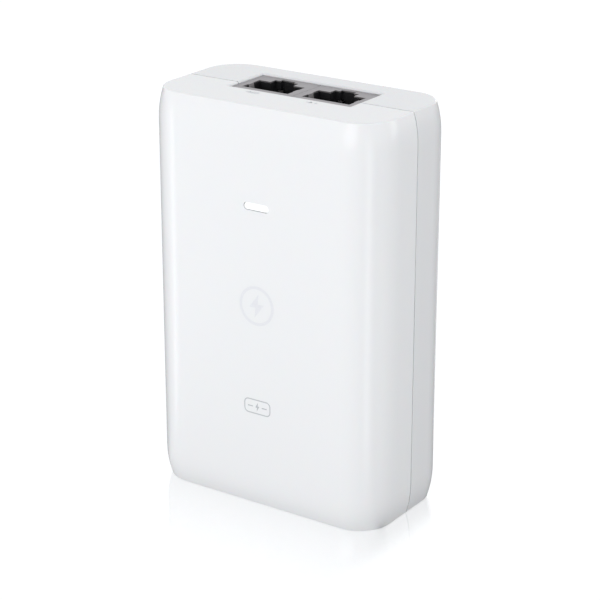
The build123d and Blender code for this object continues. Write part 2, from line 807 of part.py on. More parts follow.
def choke_windings():
    """Two windings of single turns round the ring."""
    wire = choke_wire
    wide = choke_width + 2 * choke_gap
    deep = choke_radius - choke_bore + 2 * choke_gap
    inner = RectangleRounded(wide, deep, choke_turn_corner)
    outer = RectangleRounded(wide + 2 * wire, deep + 2 * wire, choke_turn_corner + wire)
    ring = Pos(0, (choke_radius + choke_bore) / 2) * (outer - inner)
    turn = extrude(ring, wire / 2, both=True)
    start = 90 - choke_step * (choke_turns - 1) / 2
    turns = []
    for half in (0, 180):
        for index in range(choke_turns):
            angle = start + half + index * choke_step
            turns.append(Pos(*choke_middle()) * Rot(angle, 0, 0) * turn)
    return turns


def choke_base():
    """Moulded foot under the choke, with its leads."""
    x, z = choke_at
    half, rise = choke_base_width / 2, choke_base_length / 2
    y0 = board_front - choke_foot + choke_gap / 2
    foot = block(x - half, x + half, y0, board_front, z - rise, z + rise)
    return foot + leads(choke_leads(), board_front - choke_foot / 2)


def bridge_leads():
    """Four leads of the bridge in a row."""
    x, z = bridge_at
    return [(x, z + (index - 1.5) * bridge_pitch) for index in range(4)]


def bridge_rectifier():
    """Single in-line bridge rectifier."""
    x, z = bridge_at
    y1 = board_front - bridge_rise
    half, rise = bridge_width / 2, bridge_length / 2
    body = block(x - half, x + half, y1 - bridge_height, y1, z - rise, z + rise)
    corner = body.edges().filter_by(Axis.X).group_by(Axis.Y)[0].sort_by(Axis.Z)[-1]
    body = chamfer(corner, bridge_bevel)
    return body + leads(bridge_leads(), y1 - lead_root)


def can_capacitor(at, radius, height, pitch):
    """Aluminium electrolytic capacitor standing on the board."""
    x, z = at
    y1 = board_front - stand_off
    y0 = y1 - height
    can = rod_y(x, z, radius, y0, y1)
    can = fillet(can.edges(), can_corner)
    groove_y = y1 - can_groove_rise
    ring = rod_y(x, z, radius + overrun, groove_y - can_groove_width, groove_y)
    ring -= rod_y(x, z, radius - can_groove_depth, y0, y1)
    vent = Pos(x, y0, z) * (Box(radius, can_vent, can_vent) + Box(can_vent, can_vent, radius))
    return can - ring - vent + leads(pair(at, pitch), y1 - lead_root)


# ---- power devices on their heat sinks ----

def package_x(sink_x):
    """Middle of a device's leads in front of its heat sink."""
    return sink_x - pad_thickness - package_lead_depth


def package_leads(sink_x, z):
    """Three leads of a tabbed device."""
    x = package_x(sink_x)
    return [(x, z + offset * package_pitch) for offset in (-1, 0, 1)]


def sink_leads(sink_x, z):
    """Two solder pegs of a heat sink."""
    x = sink_x + sink_thickness / 2
    reach = sink_length / 2 - sink_peg_inset
    return [(x, z - reach), (x, z + reach)]


def package_screw_y():
    """Height of the device screw's axis."""
    return board_front - package_rise - package_body - package_tab / 2


def tabbed_device(sink_x, z):
    """Three-lead device with a metal tab, flat against its insulating pad."""
    x1 = sink_x - pad_thickness
    y1 = board_front - package_rise
    half = package_width / 2
    body = block(x1 - package_thickness, x1, y1 - package_body, y1, z - half, z + half)
    tab_y = y1 - package_body - package_tab
    tab = block(x1 - package_tab_thickness, x1, tab_y, y1 - package_body, z - half, z + half)
    hole = device_screw_radius + device_hole_gap
    tab -= rod_x(package_screw_y(), z, hole, x1 - package_thickness, x1 + overrun)
    return body + tab + leads(package_leads(sink_x, z), y1 - lead_root)


def sink_fold_y():
    """Underside of a heat sink's folded edge."""
    return board_front - room + sink_clearance + sink_thickness


def heat_sink(sink_x, z):
    """Aluminium plate with a folded top edge and two solder pegs."""
    x0, x1 = sink_x, sink_x + sink_thickness
    y0 = sink_fold_y() - sink_thickness
    half = sink_length / 2
    plate = block(x0, x1, y0, board_front - sink_foot, z - half, z + half)
    plate += block(x1 - sink_fold, x1, y0, y0 + sink_thickness, z - half, z + half)
    bend = plate.edges().filter_by(Axis.Z).group_by(Axis.Y)[0].sort_by(Axis.X)[-1]
    plate = fillet(bend, sink_thickness / 2)
    hole = device_screw_radius + fit_gap / 2
    plate -= rod_x(package_screw_y(), z, hole, x0 - overrun, x1 + overrun)
    return plate + leads(sink_leads(sink_x, z), board_front - lead_root)


def device_pads():
    """Insulating pads between the devices and their heat sinks."""
    pads = []
    for sink_x, z in ((switch_sink_x, switch_z), (rectifier_sink_x, rectifier_z)):
        half = package_width / 2 + pad_border
        y1 = board_front - package_rise + pad_border
        y0 = sink_fold_y() + fit_gap
        pad = block(sink_x - pad_thickness, sink_x, y0, y1, z - half, z + half)
        hole = device_screw_radius + device_hole_gap
        pads.append(pad - rod_x(package_screw_y(), z, hole, sink_x - overrun, sink_x + overrun))
    return pads


def device_screws():
    """Screws and nuts that clamp the devices to their heat sinks."""
    screws = []
    y = package_screw_y()
    for sink_x, z in ((switch_sink_x, switch_z), (rectifier_sink_x, rectifier_z)):
        seat = sink_x - pad_thickness - package_tab_thickness
        back = sink_x + sink_thickness
        head = rod_x(y, z, device_head_radius, seat - device_head_height, seat)
        head = fillet(head.edges().group_by(Axis.X)[0], device_head_height / 3)
        shank = rod_x(y, z, device_screw_radius, seat - device_head_height / 2, back + shank_past)
        nut = Plane.YZ.offset(back) * (Pos(y, z) * RegularPolygon(nut_radius, 6))
        screws.append(head + shank + extrude(nut, device_nut_height))
    return screws


# ---- transformer ----

def transformer_y():
    """Middle of the transformer above the board."""
    return board_front - bobbin_foot - core_depth / 2 - bobbin_reach


def transformer_leads():
    """Two rows of pins under the bobbin's rails."""
    x, z = transformer_at
    row = core_length / 2 - row_inset
    offsets = [(index - (bobbin_pins - 1) / 2) * bobbin_pin_pitch for index in range(bobbin_pins)]
    return [(x + offset, z + side * row) for side in (-1, 1) for offset in offsets]


def transformer_core():
    """Two E-shaped ferrite halves that meet at mid height."""
    x, z = transformer_at
    y = transformer_y()
    wide, rise, deep = core_width / 2, core_length / 2, core_depth / 2
    halves = []
    for side in (-1, 1):
        z0, z1 = sorted((0, side * rise))
        half = block(-wide, wide, -deep, deep, z0, z1)
        w0, w1 = sorted((0, side * (rise - core_back)))
        for window in (-1, 1):
            x0, x1 = sorted((window * core_limb / 2, window * (wide - core_leg)))
            half -= block(x0, x1, -core_depth, core_depth, w0, w1)
        outer = half.edges().filter_by(Axis.Y).group_by(Axis.Z)[0 if side < 0 else -1]
        halves.append(Pos(x, y, z) * fillet(outer, core_corner))
    return halves


def transformer_bobbin():
    """Former on the middle limb, with flanges, pin rails and pins."""
    x, z = transformer_at
    y = transformer_y()
    limb_x, limb_y = core_limb / 2 + bobbin_gap, core_depth / 2 + bobbin_gap
    tube_x, tube_y = limb_x + bobbin_wall, limb_y + bobbin_wall
    top = core_length / 2 - core_back - bobbin_gap
    wide_x = core_width / 2 - core_leg - bobbin_gap * 2
    wide_y = core_depth / 2 + bobbin_reach
    former = block(-tube_x, tube_x, -tube_y, tube_y, -top, top)
    for side in (-1, 1):
        z0, z1 = sorted((side * (top - bobbin_flange), side * top))
        former += block(-wide_x, wide_x, -wide_y, wide_y, z0, z1)
        r0, r1 = sorted((side * (top - bobbin_flange), side * core_length / 2))
        rail_x = core_width / 2 - rail_inset
        former += block(-rail_x, rail_x, wide_y - bobbin_rail, wide_y, r0, r1)
    former -= block(-limb_x, limb_x, -limb_y, limb_y, -core_length, core_length)
    former = Pos(x, y, z) * former
    return former + leads(transformer_leads(), board_front - bobbin_foot - lead_root)


def transformer_winding():
    """Taped winding between the bobbin's flanges."""
    x, z = transformer_at
    gap = winding_gap
    inner_x = core_limb / 2 + bobbin_gap + bobbin_wall + gap
    inner_y = core_depth / 2 + bobbin_gap + bobbin_wall + gap
    outer_x = core_width / 2 - core_leg - bobbin_gap * 2 - winding_margin
    outer_y = core_depth / 2 + bobbin_reach - winding_margin
    top = core_length / 2 - core_back - bobbin_gap - bobbin_flange - gap
    outline = RectangleRounded(2 * outer_x, 2 * outer_y, winding_corner)
    outline -= Rectangle(2 * inner_x, 2 * inner_y)
    return Pos(x, transformer_y(), z) * extrude(outline, top, both=True)


# ---- output side ----

def coupler_leads():
    """Four leads of the optocoupler."""
    x, z = coupler_at
    return [(x + sx * coupler_pitch / 2, z + sz * coupler_row / 2) for sx in (-1, 1) for sz in (-1, 1)]


def optocoupler():
    """Four-pin coupler with its leads bent down at both ends."""
    x, z = coupler_at
    half, rise = coupler_width / 2, coupler_length / 2
    y1 = board_front - coupler_rise
    y0 = y1 - coupler_height
    body = block(x - half, x + half, y0, y1, z - rise, z + rise)
    body = chamfer(body.edges().group_by(Axis.Y)[0], coupler_bevel)
    y = (y0 + y1) / 2
    wide, thick = coupler_lead_width / 2, coupler_lead_thickness / 2
    for px, pz in coupler_leads():
        z0, z1 = sorted((z, pz))
        body += block(px - wide, px + wide, y - thick, y + thick, z0, z1)
        body += rod_y(px, pz, lead_radius, y - thick, tail_tip)
    return body


def output_choke():
    """Drum-core choke."""
    x, z = drum_at
    y1 = board_front - stand_off
    y0 = y1 - drum_height
    drum = rod_y(x, z, drum_radius, y0, y1)
    waist = rod_y(x, z, drum_radius + overrun, y0 + drum_flange, y1 - drum_flange)
    waist -= rod_y(x, z, drum_radius - drum_waist, y0, y1)
    return drum - waist + leads(pair(drum_at, drum_pitch), y1 - lead_root)


def gull_wing(x, z, half, height, side):
    """One bent lead beside a package of a given half width and height."""
    width, sheet = wing_width / 2, wing_thickness
    bend = half + wing_shoulder
    y = board_front - height / 2
    spans = (
        (half - wing_thickness, bend, y - sheet / 2, y + sheet / 2),
        (bend - sheet, bend, y, board_front),
        (bend - sheet, half + wing_reach, board_front - sheet, board_front),
    )
    lead = []
    for inner, outer, y0, y1 in spans:
        x0, x1 = sorted((x + side * inner, x + side * outer))
        lead.append(block(x0, x1, y0, y1, z - width, z + width))
    return lead


def chip_body(x, z, size, wings=0):
    """Surface-mounted package, with a number of gull-wing leads along each upright side."""
    width, length, height = size
    y1 = board_front - (chip_stand if wings else 0.0)
    half, rise = width / 2, length / 2
    body = block(x - half, x + half, y1 - height, y1, z - rise, z + rise)
    body = chamfer(body.edges().group_by(Axis.Y)[0], min(chip_bevel, height / 4))
    for index in range(wings):
        at = z + (index - (wings - 1) / 2) * wing_pitch
        for side in (-1, 1):
            body += gull_wing(x, at, half, height, side)
    return body


def chip_passives():
    """Chip resistors and capacitors."""
    places = list(chip_rows) + [(x, case_height - chip_port_drop) for x in chip_port_xs]
    return [chip_body(x, z, chip_size) for x, z in places]


def surge_diodes():
    """Surge clamps beside the status light, next to the jacks."""
    return [chip_body(x, case_height - surge_drop, surge_size) for x in surge_xs]


def data_transformers():
    """Line transformers on the board at each side of the jacks."""
    z = case_height - magnetics_drop
    return [chip_body(side * magnetics_x, z, magnetics_size, 8) for side in (-1, 1)]


# ---- all nodes ----

def nodes():
    """Every separate piece, or group of like pieces, by name."""
    yield "front_cover", front_cover()
    yield "rear_cover", rear_cover()
    yield "rating_label", rating_label()
    yield "wall_bracket", wall_bracket()
    yield "light_pipe", light_pipe()
    yield "status_led", status_led()
    for name, centre in zip(("lan", "poe"), jack_centres):
        place = Pos(centre, 0, 0)
        yield name + "_jack_shield", place * jack_shield()
        yield name + "_jack_insert", place * jack_insert()
        yield name + "_contact_tails", [place * tail for tail in contact_tails()]
        yield name + "_contact_arms", [place * arm for arm in contact_arms()]
    yield "ac_inlet_body", inlet_body()
    yield "ac_inlet_pins", inlet_pins()
    yield "main_board", main_board()
    yield "board_screws", board_screws()
    yield "insulating_sheet", insulating_sheet()
    yield "fuse", fuse()
    yield "varistor", disc_part(varistor_at, varistor_radius, varistor_thickness, varistor_pitch)
    yield "x_capacitor", film_capacitor()
    yield "choke_core", choke_core()
    yield "choke_windings", choke_windings()
    yield "choke_base", choke_base()
    yield "bridge_rectifier", bridge_rectifier()
    height = room - reservoir_clearance
    yield "bulk_capacitor", can_capacitor(reservoir_at, reservoir_radius, height, reservoir_pitch)
    yield "mosfet", tabbed_device(switch_sink_x, switch_z)
    yield "primary_heatsink", heat_sink(switch_sink_x, switch_z)
    yield "output_diode", tabbed_device(rectifier_sink_x, rectifier_z)
    yield "secondary_heatsink", heat_sink(rectifier_sink_x, rectifier_z)
    yield "device_pads", device_pads()
    yield "device_screws", device_screws()
    yield "transformer_core", transformer_core()
    yield "transformer_bobbin", transformer_bobbin()
    yield "transformer_winding", transformer_winding()
    yield "optocoupler", optocoupler()
    yield "y_capacitor", disc_part(bridge_cap_at, bridge_cap_radius, bridge_cap_thickness, bridge_cap_pitch)
    cans = [can_capacitor(at, smoothing_radius, smoothing_height, smoothing_pitch) for at in smoothing_at]
    yield "output_capacitors", cans
    yield "output_choke", output_choke()
    yield "pwm_controller", chip_body(*controller_at, controller_size, 4)
    yield "pse_controller", chip_body(*port_chip_at, port_chip_size, 4)
    yield "data_transformers", data_transformers()
    yield "surge_diodes", surge_diodes()
    yield "chip_passives", chip_passives()


os.makedirs("parts", exist_ok=True)
for node, shape in nodes():
    if isinstance(shape, list):
        shape = Compound(children=shape)
    export_step(shape, "parts/" + node + ".step")
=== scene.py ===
"""Power-over-Ethernet injector: finishes, printed marks, wires and studio round the fixed CAD frame."""

import json
from math import cos, pi, radians, sin

import bmesh
import bpy
from bpy.props import FloatProperty, FloatVectorProperty, PointerProperty
from mathutils import Matrix, Vector

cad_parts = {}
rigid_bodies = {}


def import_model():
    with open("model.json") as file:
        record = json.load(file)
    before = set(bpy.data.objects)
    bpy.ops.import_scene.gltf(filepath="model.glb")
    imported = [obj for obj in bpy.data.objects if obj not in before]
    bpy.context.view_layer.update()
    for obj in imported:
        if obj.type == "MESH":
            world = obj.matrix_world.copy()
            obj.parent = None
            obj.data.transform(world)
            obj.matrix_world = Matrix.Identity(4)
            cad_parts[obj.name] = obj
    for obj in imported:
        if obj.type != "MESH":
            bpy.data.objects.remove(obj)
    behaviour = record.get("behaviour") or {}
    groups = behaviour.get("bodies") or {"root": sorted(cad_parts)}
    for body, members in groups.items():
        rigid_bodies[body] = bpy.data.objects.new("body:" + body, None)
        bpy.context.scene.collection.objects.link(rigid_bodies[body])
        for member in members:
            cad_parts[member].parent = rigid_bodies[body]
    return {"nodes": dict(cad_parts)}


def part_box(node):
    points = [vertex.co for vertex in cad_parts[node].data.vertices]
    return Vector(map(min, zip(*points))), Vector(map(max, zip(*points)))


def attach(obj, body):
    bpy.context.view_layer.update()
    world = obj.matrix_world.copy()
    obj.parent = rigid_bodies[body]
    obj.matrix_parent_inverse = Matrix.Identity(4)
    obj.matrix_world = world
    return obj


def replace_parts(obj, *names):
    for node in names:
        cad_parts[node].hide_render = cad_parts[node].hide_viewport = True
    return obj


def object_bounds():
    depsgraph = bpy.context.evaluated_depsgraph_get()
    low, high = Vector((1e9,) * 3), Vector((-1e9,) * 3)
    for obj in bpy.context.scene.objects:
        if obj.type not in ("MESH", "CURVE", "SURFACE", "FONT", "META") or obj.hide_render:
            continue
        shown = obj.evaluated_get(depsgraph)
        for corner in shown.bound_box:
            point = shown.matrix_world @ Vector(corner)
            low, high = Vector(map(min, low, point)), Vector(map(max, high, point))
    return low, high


bl_info = {
    "name": "PoE Injector",
    "version": (1, 0, 0),
    "blender": (4, 5, 0),
    "location": "View3D > Sidebar > Injector",
    "description": "Finishes a power-over-Ethernet injector round its CAD frame",
    "category": "Object",
}

for leftover in list(bpy.data.objects):
    bpy.data.objects.remove(leftover)
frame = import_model()
CAD_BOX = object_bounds()
MM = 0.001
HOUSING = "housing"
PORTS = ("lan", "poe")


# ---- adjustable sizes and colours ----

def colour(name, description, value):
    """Colour property."""
    return FloatVectorProperty(
        name=name, description=description, subtype="COLOR", size=3, min=0.0, max=1.0, default=value)


def length(name, description, value):
    """Length property in metres."""
    return FloatProperty(
        name=name, description=description, unit="LENGTH", min=0.0, precision=5, default=value)


def power(name, description, value):
    """Lamp power property in watts."""
    return FloatProperty(name=name, description=description, unit="POWER", min=0.0, default=value)


class CasingLook(bpy.types.PropertyGroup):
    """White moulded covers."""
    shell: colour("Front Shell", "Colour of the front cover", (0.87, 0.87, 0.878))
    # Painted shade: the rear cover is the same white plastic as the front, coloured darker to paint the
    # dimmer light on the rear of the casing.
    shaded_rear_shell: colour("Shaded Rear Shell", "Colour of the rear cover", (0.81, 0.81, 0.82))
    bracket: colour("Bracket", "Colour of the wall bracket", (0.80, 0.81, 0.825))
    roughness: FloatProperty(
        name="Roughness", description="Satin finish of the covers", min=0.0, max=1.0, default=0.22)
    grain: length("Grain", "Size of the spark-eroded grain", 0.00022)
    glow: FloatProperty(
        name="Glow", description="Brightness of the status light", min=0.0, default=0.22)
    label: colour("Label", "Colour of the blank label", (0.62, 0.63, 0.64))


class PrintLook(bpy.types.PropertyGroup):
    """Marks printed on the covers."""
    ink: colour("Ink", "Grey of the small badge", (0.50, 0.51, 0.53))
    pale_ink: colour("Pale Ink", "Grey of the large front symbol", (0.775, 0.775, 0.80))
    badge_width: length("Badge Width", "Outline of the small badge", 0.0071)
    badge_height: length("Badge Height", "Outline of the small badge", 0.0035)
    badge_rise: length("Badge Rise", "Middle of the badge above the base", 0.0244)
    line: length("Line", "Width of the badge's outline", 0.00024)
    symbol_rise: length("Symbol Rise", "Middle of the front symbol above the base", 0.0484)
    symbol_size: length("Symbol Size", "Width of the front symbol", 0.0092)
    icon_size: length("Icon Size", "Width of the port icons", 0.0033)


class WireLook(bpy.types.PropertyGroup):
    """Windings and solder on the circuit board."""
    choke_wire: length("Choke Wire", "Thickness of the choke's wire", 0.0008)
    choke_bore: length("Choke Bore", "Radius of the hole in the choke's ring", 0.0042)
    choke_gap: length("Choke Gap", "Space between the ring and its wire", 0.00005)
    solder_pad: length("Solder Pad", "Radius of a solder joint on the board", 0.0008)
    solder_lead: length("Solder Lead", "Radius of a solder joint at its top", 0.00042)
    solder_rise: length("Solder Rise", "Height of a solder joint", 0.0007)


class StageLook(bpy.types.PropertyGroup):
    """Camera, lights and floor."""
    azimuth: FloatProperty(
        name="Azimuth", description="Camera, turned from the front", subtype="ANGLE",
        default=radians(34.384))
    elevation: FloatProperty(
        name="Elevation", description="Camera above the horizon", subtype="ANGLE", default=radians(20.428))
    distance: length("Distance", "Camera from its target", 0.4199)
    target: FloatVectorProperty(
        name="Target", description="Point the camera looks at", unit="LENGTH", size=3,
        default=(0.0155, -0.02194, 0.0549))
    lens: FloatProperty(name="Lens", description="Focal length in millimetres", default=119.56)
    key_power: power("Key", "Broad soft light in front", 2.25)
    right_power: power("Right", "Soft light at the right", 1.4)
    back_power: power("Back", "Soft light behind", 1.2)
    fill: FloatProperty(name="Fill", description="Strength of the white surroundings", default=0.86)
    front_glow: FloatProperty(name="Front Glow", description="Light from the floor in front", default=0.78)
    side_glow: FloatProperty(
        name="Side Glow", description="Light from the floor at the right", default=0.50)
    back_glow: FloatProperty(name="Back Glow", description="Light from the floor behind", default=0.10)
    left_azimuth: FloatProperty(
        name="Left Azimuth", description="Bright strip at the left, turned from the front",
        subtype="ANGLE", default=radians(-50))
    right_azimuth: FloatProperty(
        name="Right Azimuth", description="Bright strip at the right, turned from the front",
        subtype="ANGLE", default=radians(48))
    left_band: FloatProperty(
        name="Left Band", description="Bright strip across the floor at the left", default=2.8)
    right_band: FloatProperty(
        name="Right Band", description="Bright strip across the floor at the right", default=2.2)
    mirror: FloatProperty(
        name="Mirror", description="Strength of the floor's reflection at the base", min=0.0, max=1.0,
        default=0.42)
    fade: length("Reflection Fade", "Reach of the floor's reflection round the base", 0.038)


# ---- node trees ----

class Tree:
    """Adds and joins nodes in one tree."""

    def __init__(self, tree):
        self.tree = tree
        self.count = 0

    def add(self, kind, inputs=None, **settings):
        """New node with its settings, and values or links for its inputs."""
        node = self.tree.nodes.new(kind)
        node.location = (220 * (self.count % 8), -240 * (self.count // 8))
        self.count += 1
        for name, value in settings.items():
            setattr(node, name, value)
        for name, value in (inputs or {}).items():
            socket = node.inputs[name]
            if isinstance(value, bpy.types.NodeSocket):
                self.tree.links.new(value, socket)
            else:
                socket.default_value = value
        return node

    def math(self, operation, *values, clamp=False):
        """Math node's result."""
        node = self.add("ShaderNodeMath", operation=operation, use_clamp=clamp)
        for index, value in enumerate(values):
            if isinstance(value, bpy.types.NodeSocket):
                self.tree.links.new(value, node.inputs[index])
            else:
                node.inputs[index].default_value = value
        return node.outputs[0]

    def vector(self, operation, a, b=None, result=0):
        """Vector math node's result."""
        inputs = {0: a} if b is None else {0: a, 1: b}
        return self.add("ShaderNodeVectorMath", inputs, operation=operation).outputs[result]

    def part(self, vector, axis):
        """One part of a vector."""
        return self.add("ShaderNodeSeparateXYZ", {"Vector": vector}).outputs[axis]

    def ramp(self, value, start, end, low=0.0, high=1.0, kind="SMOOTHSTEP"):
        """Rise from low to high as a value goes from start to end."""
        return self.add("ShaderNodeMapRange", {
            "Value": value, "From Min": start, "From Max": end, "To Min": low, "To Max": high},
            interpolation_type=kind).outputs[0]

    def mix(self, factor, a, b):
        """Mixed colour."""
        node = self.add("ShaderNodeMix", data_type="RGBA")
        for index, value in ((0, factor), (6, a), (7, b)):
            if isinstance(value, bpy.types.NodeSocket):
                self.tree.links.new(value, node.inputs[index])
            else:
                node.inputs[index].default_value = value
        return node.outputs[2]

    def link(self, a, b):
        """Joins two sockets."""
        self.tree.links.new(a, b)


def rgba(value, shade=1.0):
    """Colour with alpha, darkened or lightened."""
    return tuple(min(1.0, c * shade) for c in value) + (1.0,)


def shader_group(name, inputs, outputs, fill):
    """Node group with named sockets, filled in by a function."""
    group = bpy.data.node_groups.new(name, "ShaderNodeTree")
    for socket, value in inputs.items():
        kind = "NodeSocketVector" if value is None else "NodeSocketFloat"
        made = group.interface.new_socket(socket, in_out="INPUT", socket_type=kind)
        if value is not None:
            made.default_value = value
    for socket in outputs:
        group.interface.new_socket(socket, in_out="OUTPUT", socket_type="NodeSocketFloat")
    tree = Tree(group)
    start = tree.add("NodeGroupInput")
    end = tree.add("NodeGroupOutput")
    for socket, result in fill(tree, start.outputs).items():
        tree.link(result, end.inputs[socket])
    return group


def grain_nodes(tree, given):
    """Fine moulded grain with a slow drift in tone."""
    fine = tree.add("ShaderNodeTexNoise", {
        "Vector": given["Vector"], "Scale": given["Scale"], "Detail": 3.0, "Roughness": 0.6})
    slow = tree.add("ShaderNodeTexNoise", {
        "Vector": given["Vector"], "Scale": 38.0, "Detail": 4.0, "Roughness": 0.55})
    streak = tree.math("MULTIPLY", slow.outputs[0], 0.7)
    return {"Height": fine.outputs[0], "Tone": tree.math("ADD", streak, 0.15, clamp=True)}


def brushed_nodes(tree, given):
    """Fine parallel scratches, with broad cloudy marks."""
    stretched = tree.vector("MULTIPLY", given["Vector"], (1.0, 0.06, 1.0))
    lines = tree.add("ShaderNodeTexNoise", {
        "Vector": stretched, "Scale": given["Scale"], "Detail": 5.0, "Roughness": 0.65})
    cloud = tree.add("ShaderNodeTexNoise", {"Vector": given["Vector"], "Scale": 160.0, "Detail": 3.0})
    return {"Height": lines.outputs[0], "Tone": cloud.outputs[0]}


def wear_nodes(tree, given):
    """Mask that is bright along worn edges."""
    soft = tree.add("ShaderNodeBevel", {"Radius": given["Radius"]}, samples=4)
    sharp = tree.add("ShaderNodeNewGeometry")
    match = tree.vector("DOT_PRODUCT", soft.outputs[0], sharp.outputs["Normal"], "Value")
    edge = tree.math("SUBTRACT", 1.0, match)
    spots = tree.add("ShaderNodeTexNoise", {"Vector": given["Vector"], "Scale": 700.0, "Detail": 4.0})
    rough = tree.math("MULTIPLY", edge, tree.math("ADD", spots.outputs[0], 0.3))
    return {"Edge": tree.math("MULTIPLY", rough, given["Amount"], clamp=True)}


def smear_nodes(tree, given):
    """Faint cloudy handling marks."""
    cloud = tree.add("ShaderNodeTexNoise", {"Vector": given["Vector"], "Scale": 55.0, "Detail": 5.0})
    return {"Smears": tree.math("MULTIPLY", cloud.outputs[0], 0.6)}


GROUPS = {
    "grain": shader_group(
        "Moulded Grain", {"Vector": None, "Scale": 4500.0}, ("Height", "Tone"), grain_nodes),
    "brushed": shader_group(
        "Brushed Grain", {"Vector": None, "Scale": 3000.0}, ("Height", "Tone"), brushed_nodes),
    "wear": shader_group(
        "Edge Wear", {"Vector": None, "Radius": 0.0002, "Amount": 1.0}, ("Edge",), wear_nodes),
    "smears": shader_group("Smears", {"Vector": None}, ("Smears",), smear_nodes),
}


def group_node(tree, name, vector, **values):
    """Shared group's outputs in a material."""
    node = tree.add("ShaderNodeGroup", node_tree=GROUPS[name])
    tree.link(vector, node.inputs["Vector"])
    for key, value in values.items():
        node.inputs[key.title()].default_value = value
    return node.outputs


def start_material(name, **sockets):
    """Empty Principled material: tree, shader and object coordinates."""
    material = bpy.data.materials.new(name)
    material.use_nodes = True
    tree = Tree(material.node_tree)
    shader = material.node_tree.nodes["Principled BSDF"]
    for socket, value in sockets.items():
        shader.inputs[socket.replace("_", " ")].default_value = value
    place = tree.add("ShaderNodeTexCoord").outputs["Object"]
    return material, tree, shader, place


def bump(tree, shader, height, distance):
    """Surface relief from a height."""
    node = tree.add("ShaderNodeBump", {"Strength": 1.0, "Distance": distance, "Height": height})
    tree.link(node.outputs[0], shader.inputs["Normal"])


TIN = (0.70, 0.70, 0.69, 1.0)       # tinned leads


def moulded(
        name, tone, roughness, grain=0.25 * MM, relief=0.012 * MM, spread=0.03, smears=0.12, tinned=None,
        **sockets):
    """Plastic with fine grain, a slow drift in tone and faint smears, and tinned leads past some y."""
    material, tree, shader, place = start_material(name, **sockets)
    grained = group_node(tree, "grain", place, scale=1.0 / grain)
    marks = group_node(tree, "smears", place)
    shade = tree.mix(grained["Tone"], rgba(tone, 1.0 - spread), rgba(tone, 1.0 + spread))
    if tinned is not None:
        lead = tree.math("GREATER_THAN", tree.part(place, "Y"), tinned)
        shade = tree.mix(lead, shade, TIN)
        tree.link(lead, shader.inputs["Metallic"])
    tree.link(shade, shader.inputs["Base Color"])
    gloss = tree.math("MULTIPLY_ADD", marks["Smears"], smears, roughness - smears / 3, clamp=True)
    tree.link(gloss, shader.inputs["Roughness"])
    bump(tree, shader, grained["Height"], relief)
    return material


def sheet_metal(name, tone, roughness, worn=1.3, turn=(0.0, 0.0, 0.0), **sockets):
    """Plated or bare sheet with drawn lines, cloudy marks and brighter edges."""
    material, tree, shader, place = start_material(name, Metallic=1.0, **sockets)
    turned = tree.add("ShaderNodeMapping", {"Vector": place, "Rotation": turn}).outputs[0]
    lines = group_node(tree, "brushed", turned)
    wear = group_node(tree, "wear", place)
    cloudy = tree.mix(lines["Tone"], rgba(tone, 0.86), rgba(tone, 1.08))
    shade = tree.mix(wear["Edge"], cloudy, rgba(tone, worn))
    tree.link(shade, shader.inputs["Base Color"])
    gloss = tree.math("MULTIPLY_ADD", lines["Height"], 0.16, roughness - 0.08, clamp=True)
    tree.link(gloss, shader.inputs["Roughness"])
    bump(tree, shader, lines["Height"], 0.006 * MM)
    return material


def dress(material, *names):
    """Gives CAD nodes a material."""
    for name in names:
        node = frame["nodes"][name]
        node.data.materials.clear()
        node.data.materials.append(material)


# ---- mesh helpers ----

MERGE = 1e-7        # vertices closer than this are one, in metres


def linked(name, data):
    """New object in the scene."""
    made = bpy.data.objects.new(name, data)
    bpy.context.scene.collection.objects.link(made)
    return made


def closed_piece(name, shape, material, body, smooth):
    """Object from a bmesh, merged and facing outwards, riding on a body."""
    bmesh.ops.remove_doubles(shape, verts=shape.verts, dist=MERGE)
    bmesh.ops.recalc_face_normals(shape, faces=shape.faces)
    mesh = bpy.data.meshes.new(name)
    shape.to_mesh(mesh)
    shape.free()
    mesh.polygons.foreach_set("use_smooth", [smooth] * len(mesh.polygons))
    mesh.materials.append(material)
    piece = linked(name, mesh)
    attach(piece, body)
    return piece


def drawn_piece(name, build, material):
    """Flat-faced piece that a function draws into a bmesh."""
    shape = bmesh.new()
    build(shape)
    return closed_piece(name, shape, material, HOUSING, smooth=False)


def middle(node):
    """Middle of a CAD node's box."""
    low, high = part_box(node)
    return (low + high) / 2


def wires(name, paths, radius, material, body):
    """Round wires along lists of points, as one closed mesh."""
    curve = bpy.data.curves.new(name, "CURVE")
    curve.dimensions = "3D"
    curve.bevel_depth = radius
    curve.bevel_resolution = 3
    curve.use_fill_caps = True
    for path in paths:
        spline = curve.splines.new("POLY")
        spline.points.add(len(path) - 1)
        for point, place in zip(spline.points, path):
            point.co = (*place, 1.0)
    maker = linked(name, curve)
    shape = bmesh.new()
    shape.from_mesh(settled_mesh(maker))
    bpy.data.objects.remove(maker)
    return closed_piece(name, shape, material, body, smooth=True)


def settled_mesh(maker):
    """Plain mesh of an object with its modifiers or bevel applied."""
    graph = bpy.context.evaluated_depsgraph_get()
    graph.update()
    return bpy.data.meshes.new_from_object(maker.evaluated_get(graph))


LEAD_ACROSS = 0.9 * MM      # vertices of one lead are closer than this


def lead_tips(names, start):
    """Middles, in x and z, of the leads of some nodes past some y."""
    leads = []
    for name in names:
        for vertex in frame["nodes"][name].data.vertices:
            if vertex.co.y >= start:
                lead_at(leads, vertex.co).append(vertex.co)
    return [(lead_middle(lead, "x"), lead_middle(lead, "z")) for lead in leads]


def lead_at(leads, point):
    """The lead that a point belongs to, or a new one."""
    for lead in leads:
        if abs(lead[0].x - point.x) < LEAD_ACROSS and abs(lead[0].z - point.z) < LEAD_ACROSS:
            return lead
    leads.append([])
    return leads[-1]


def lead_middle(lead, axis):
    """Middle of a lead's points along one axis."""
    values = [getattr(point, axis) for point in lead]
    return (min(values) + max(values)) / 2


# ---- geometry node trees ----

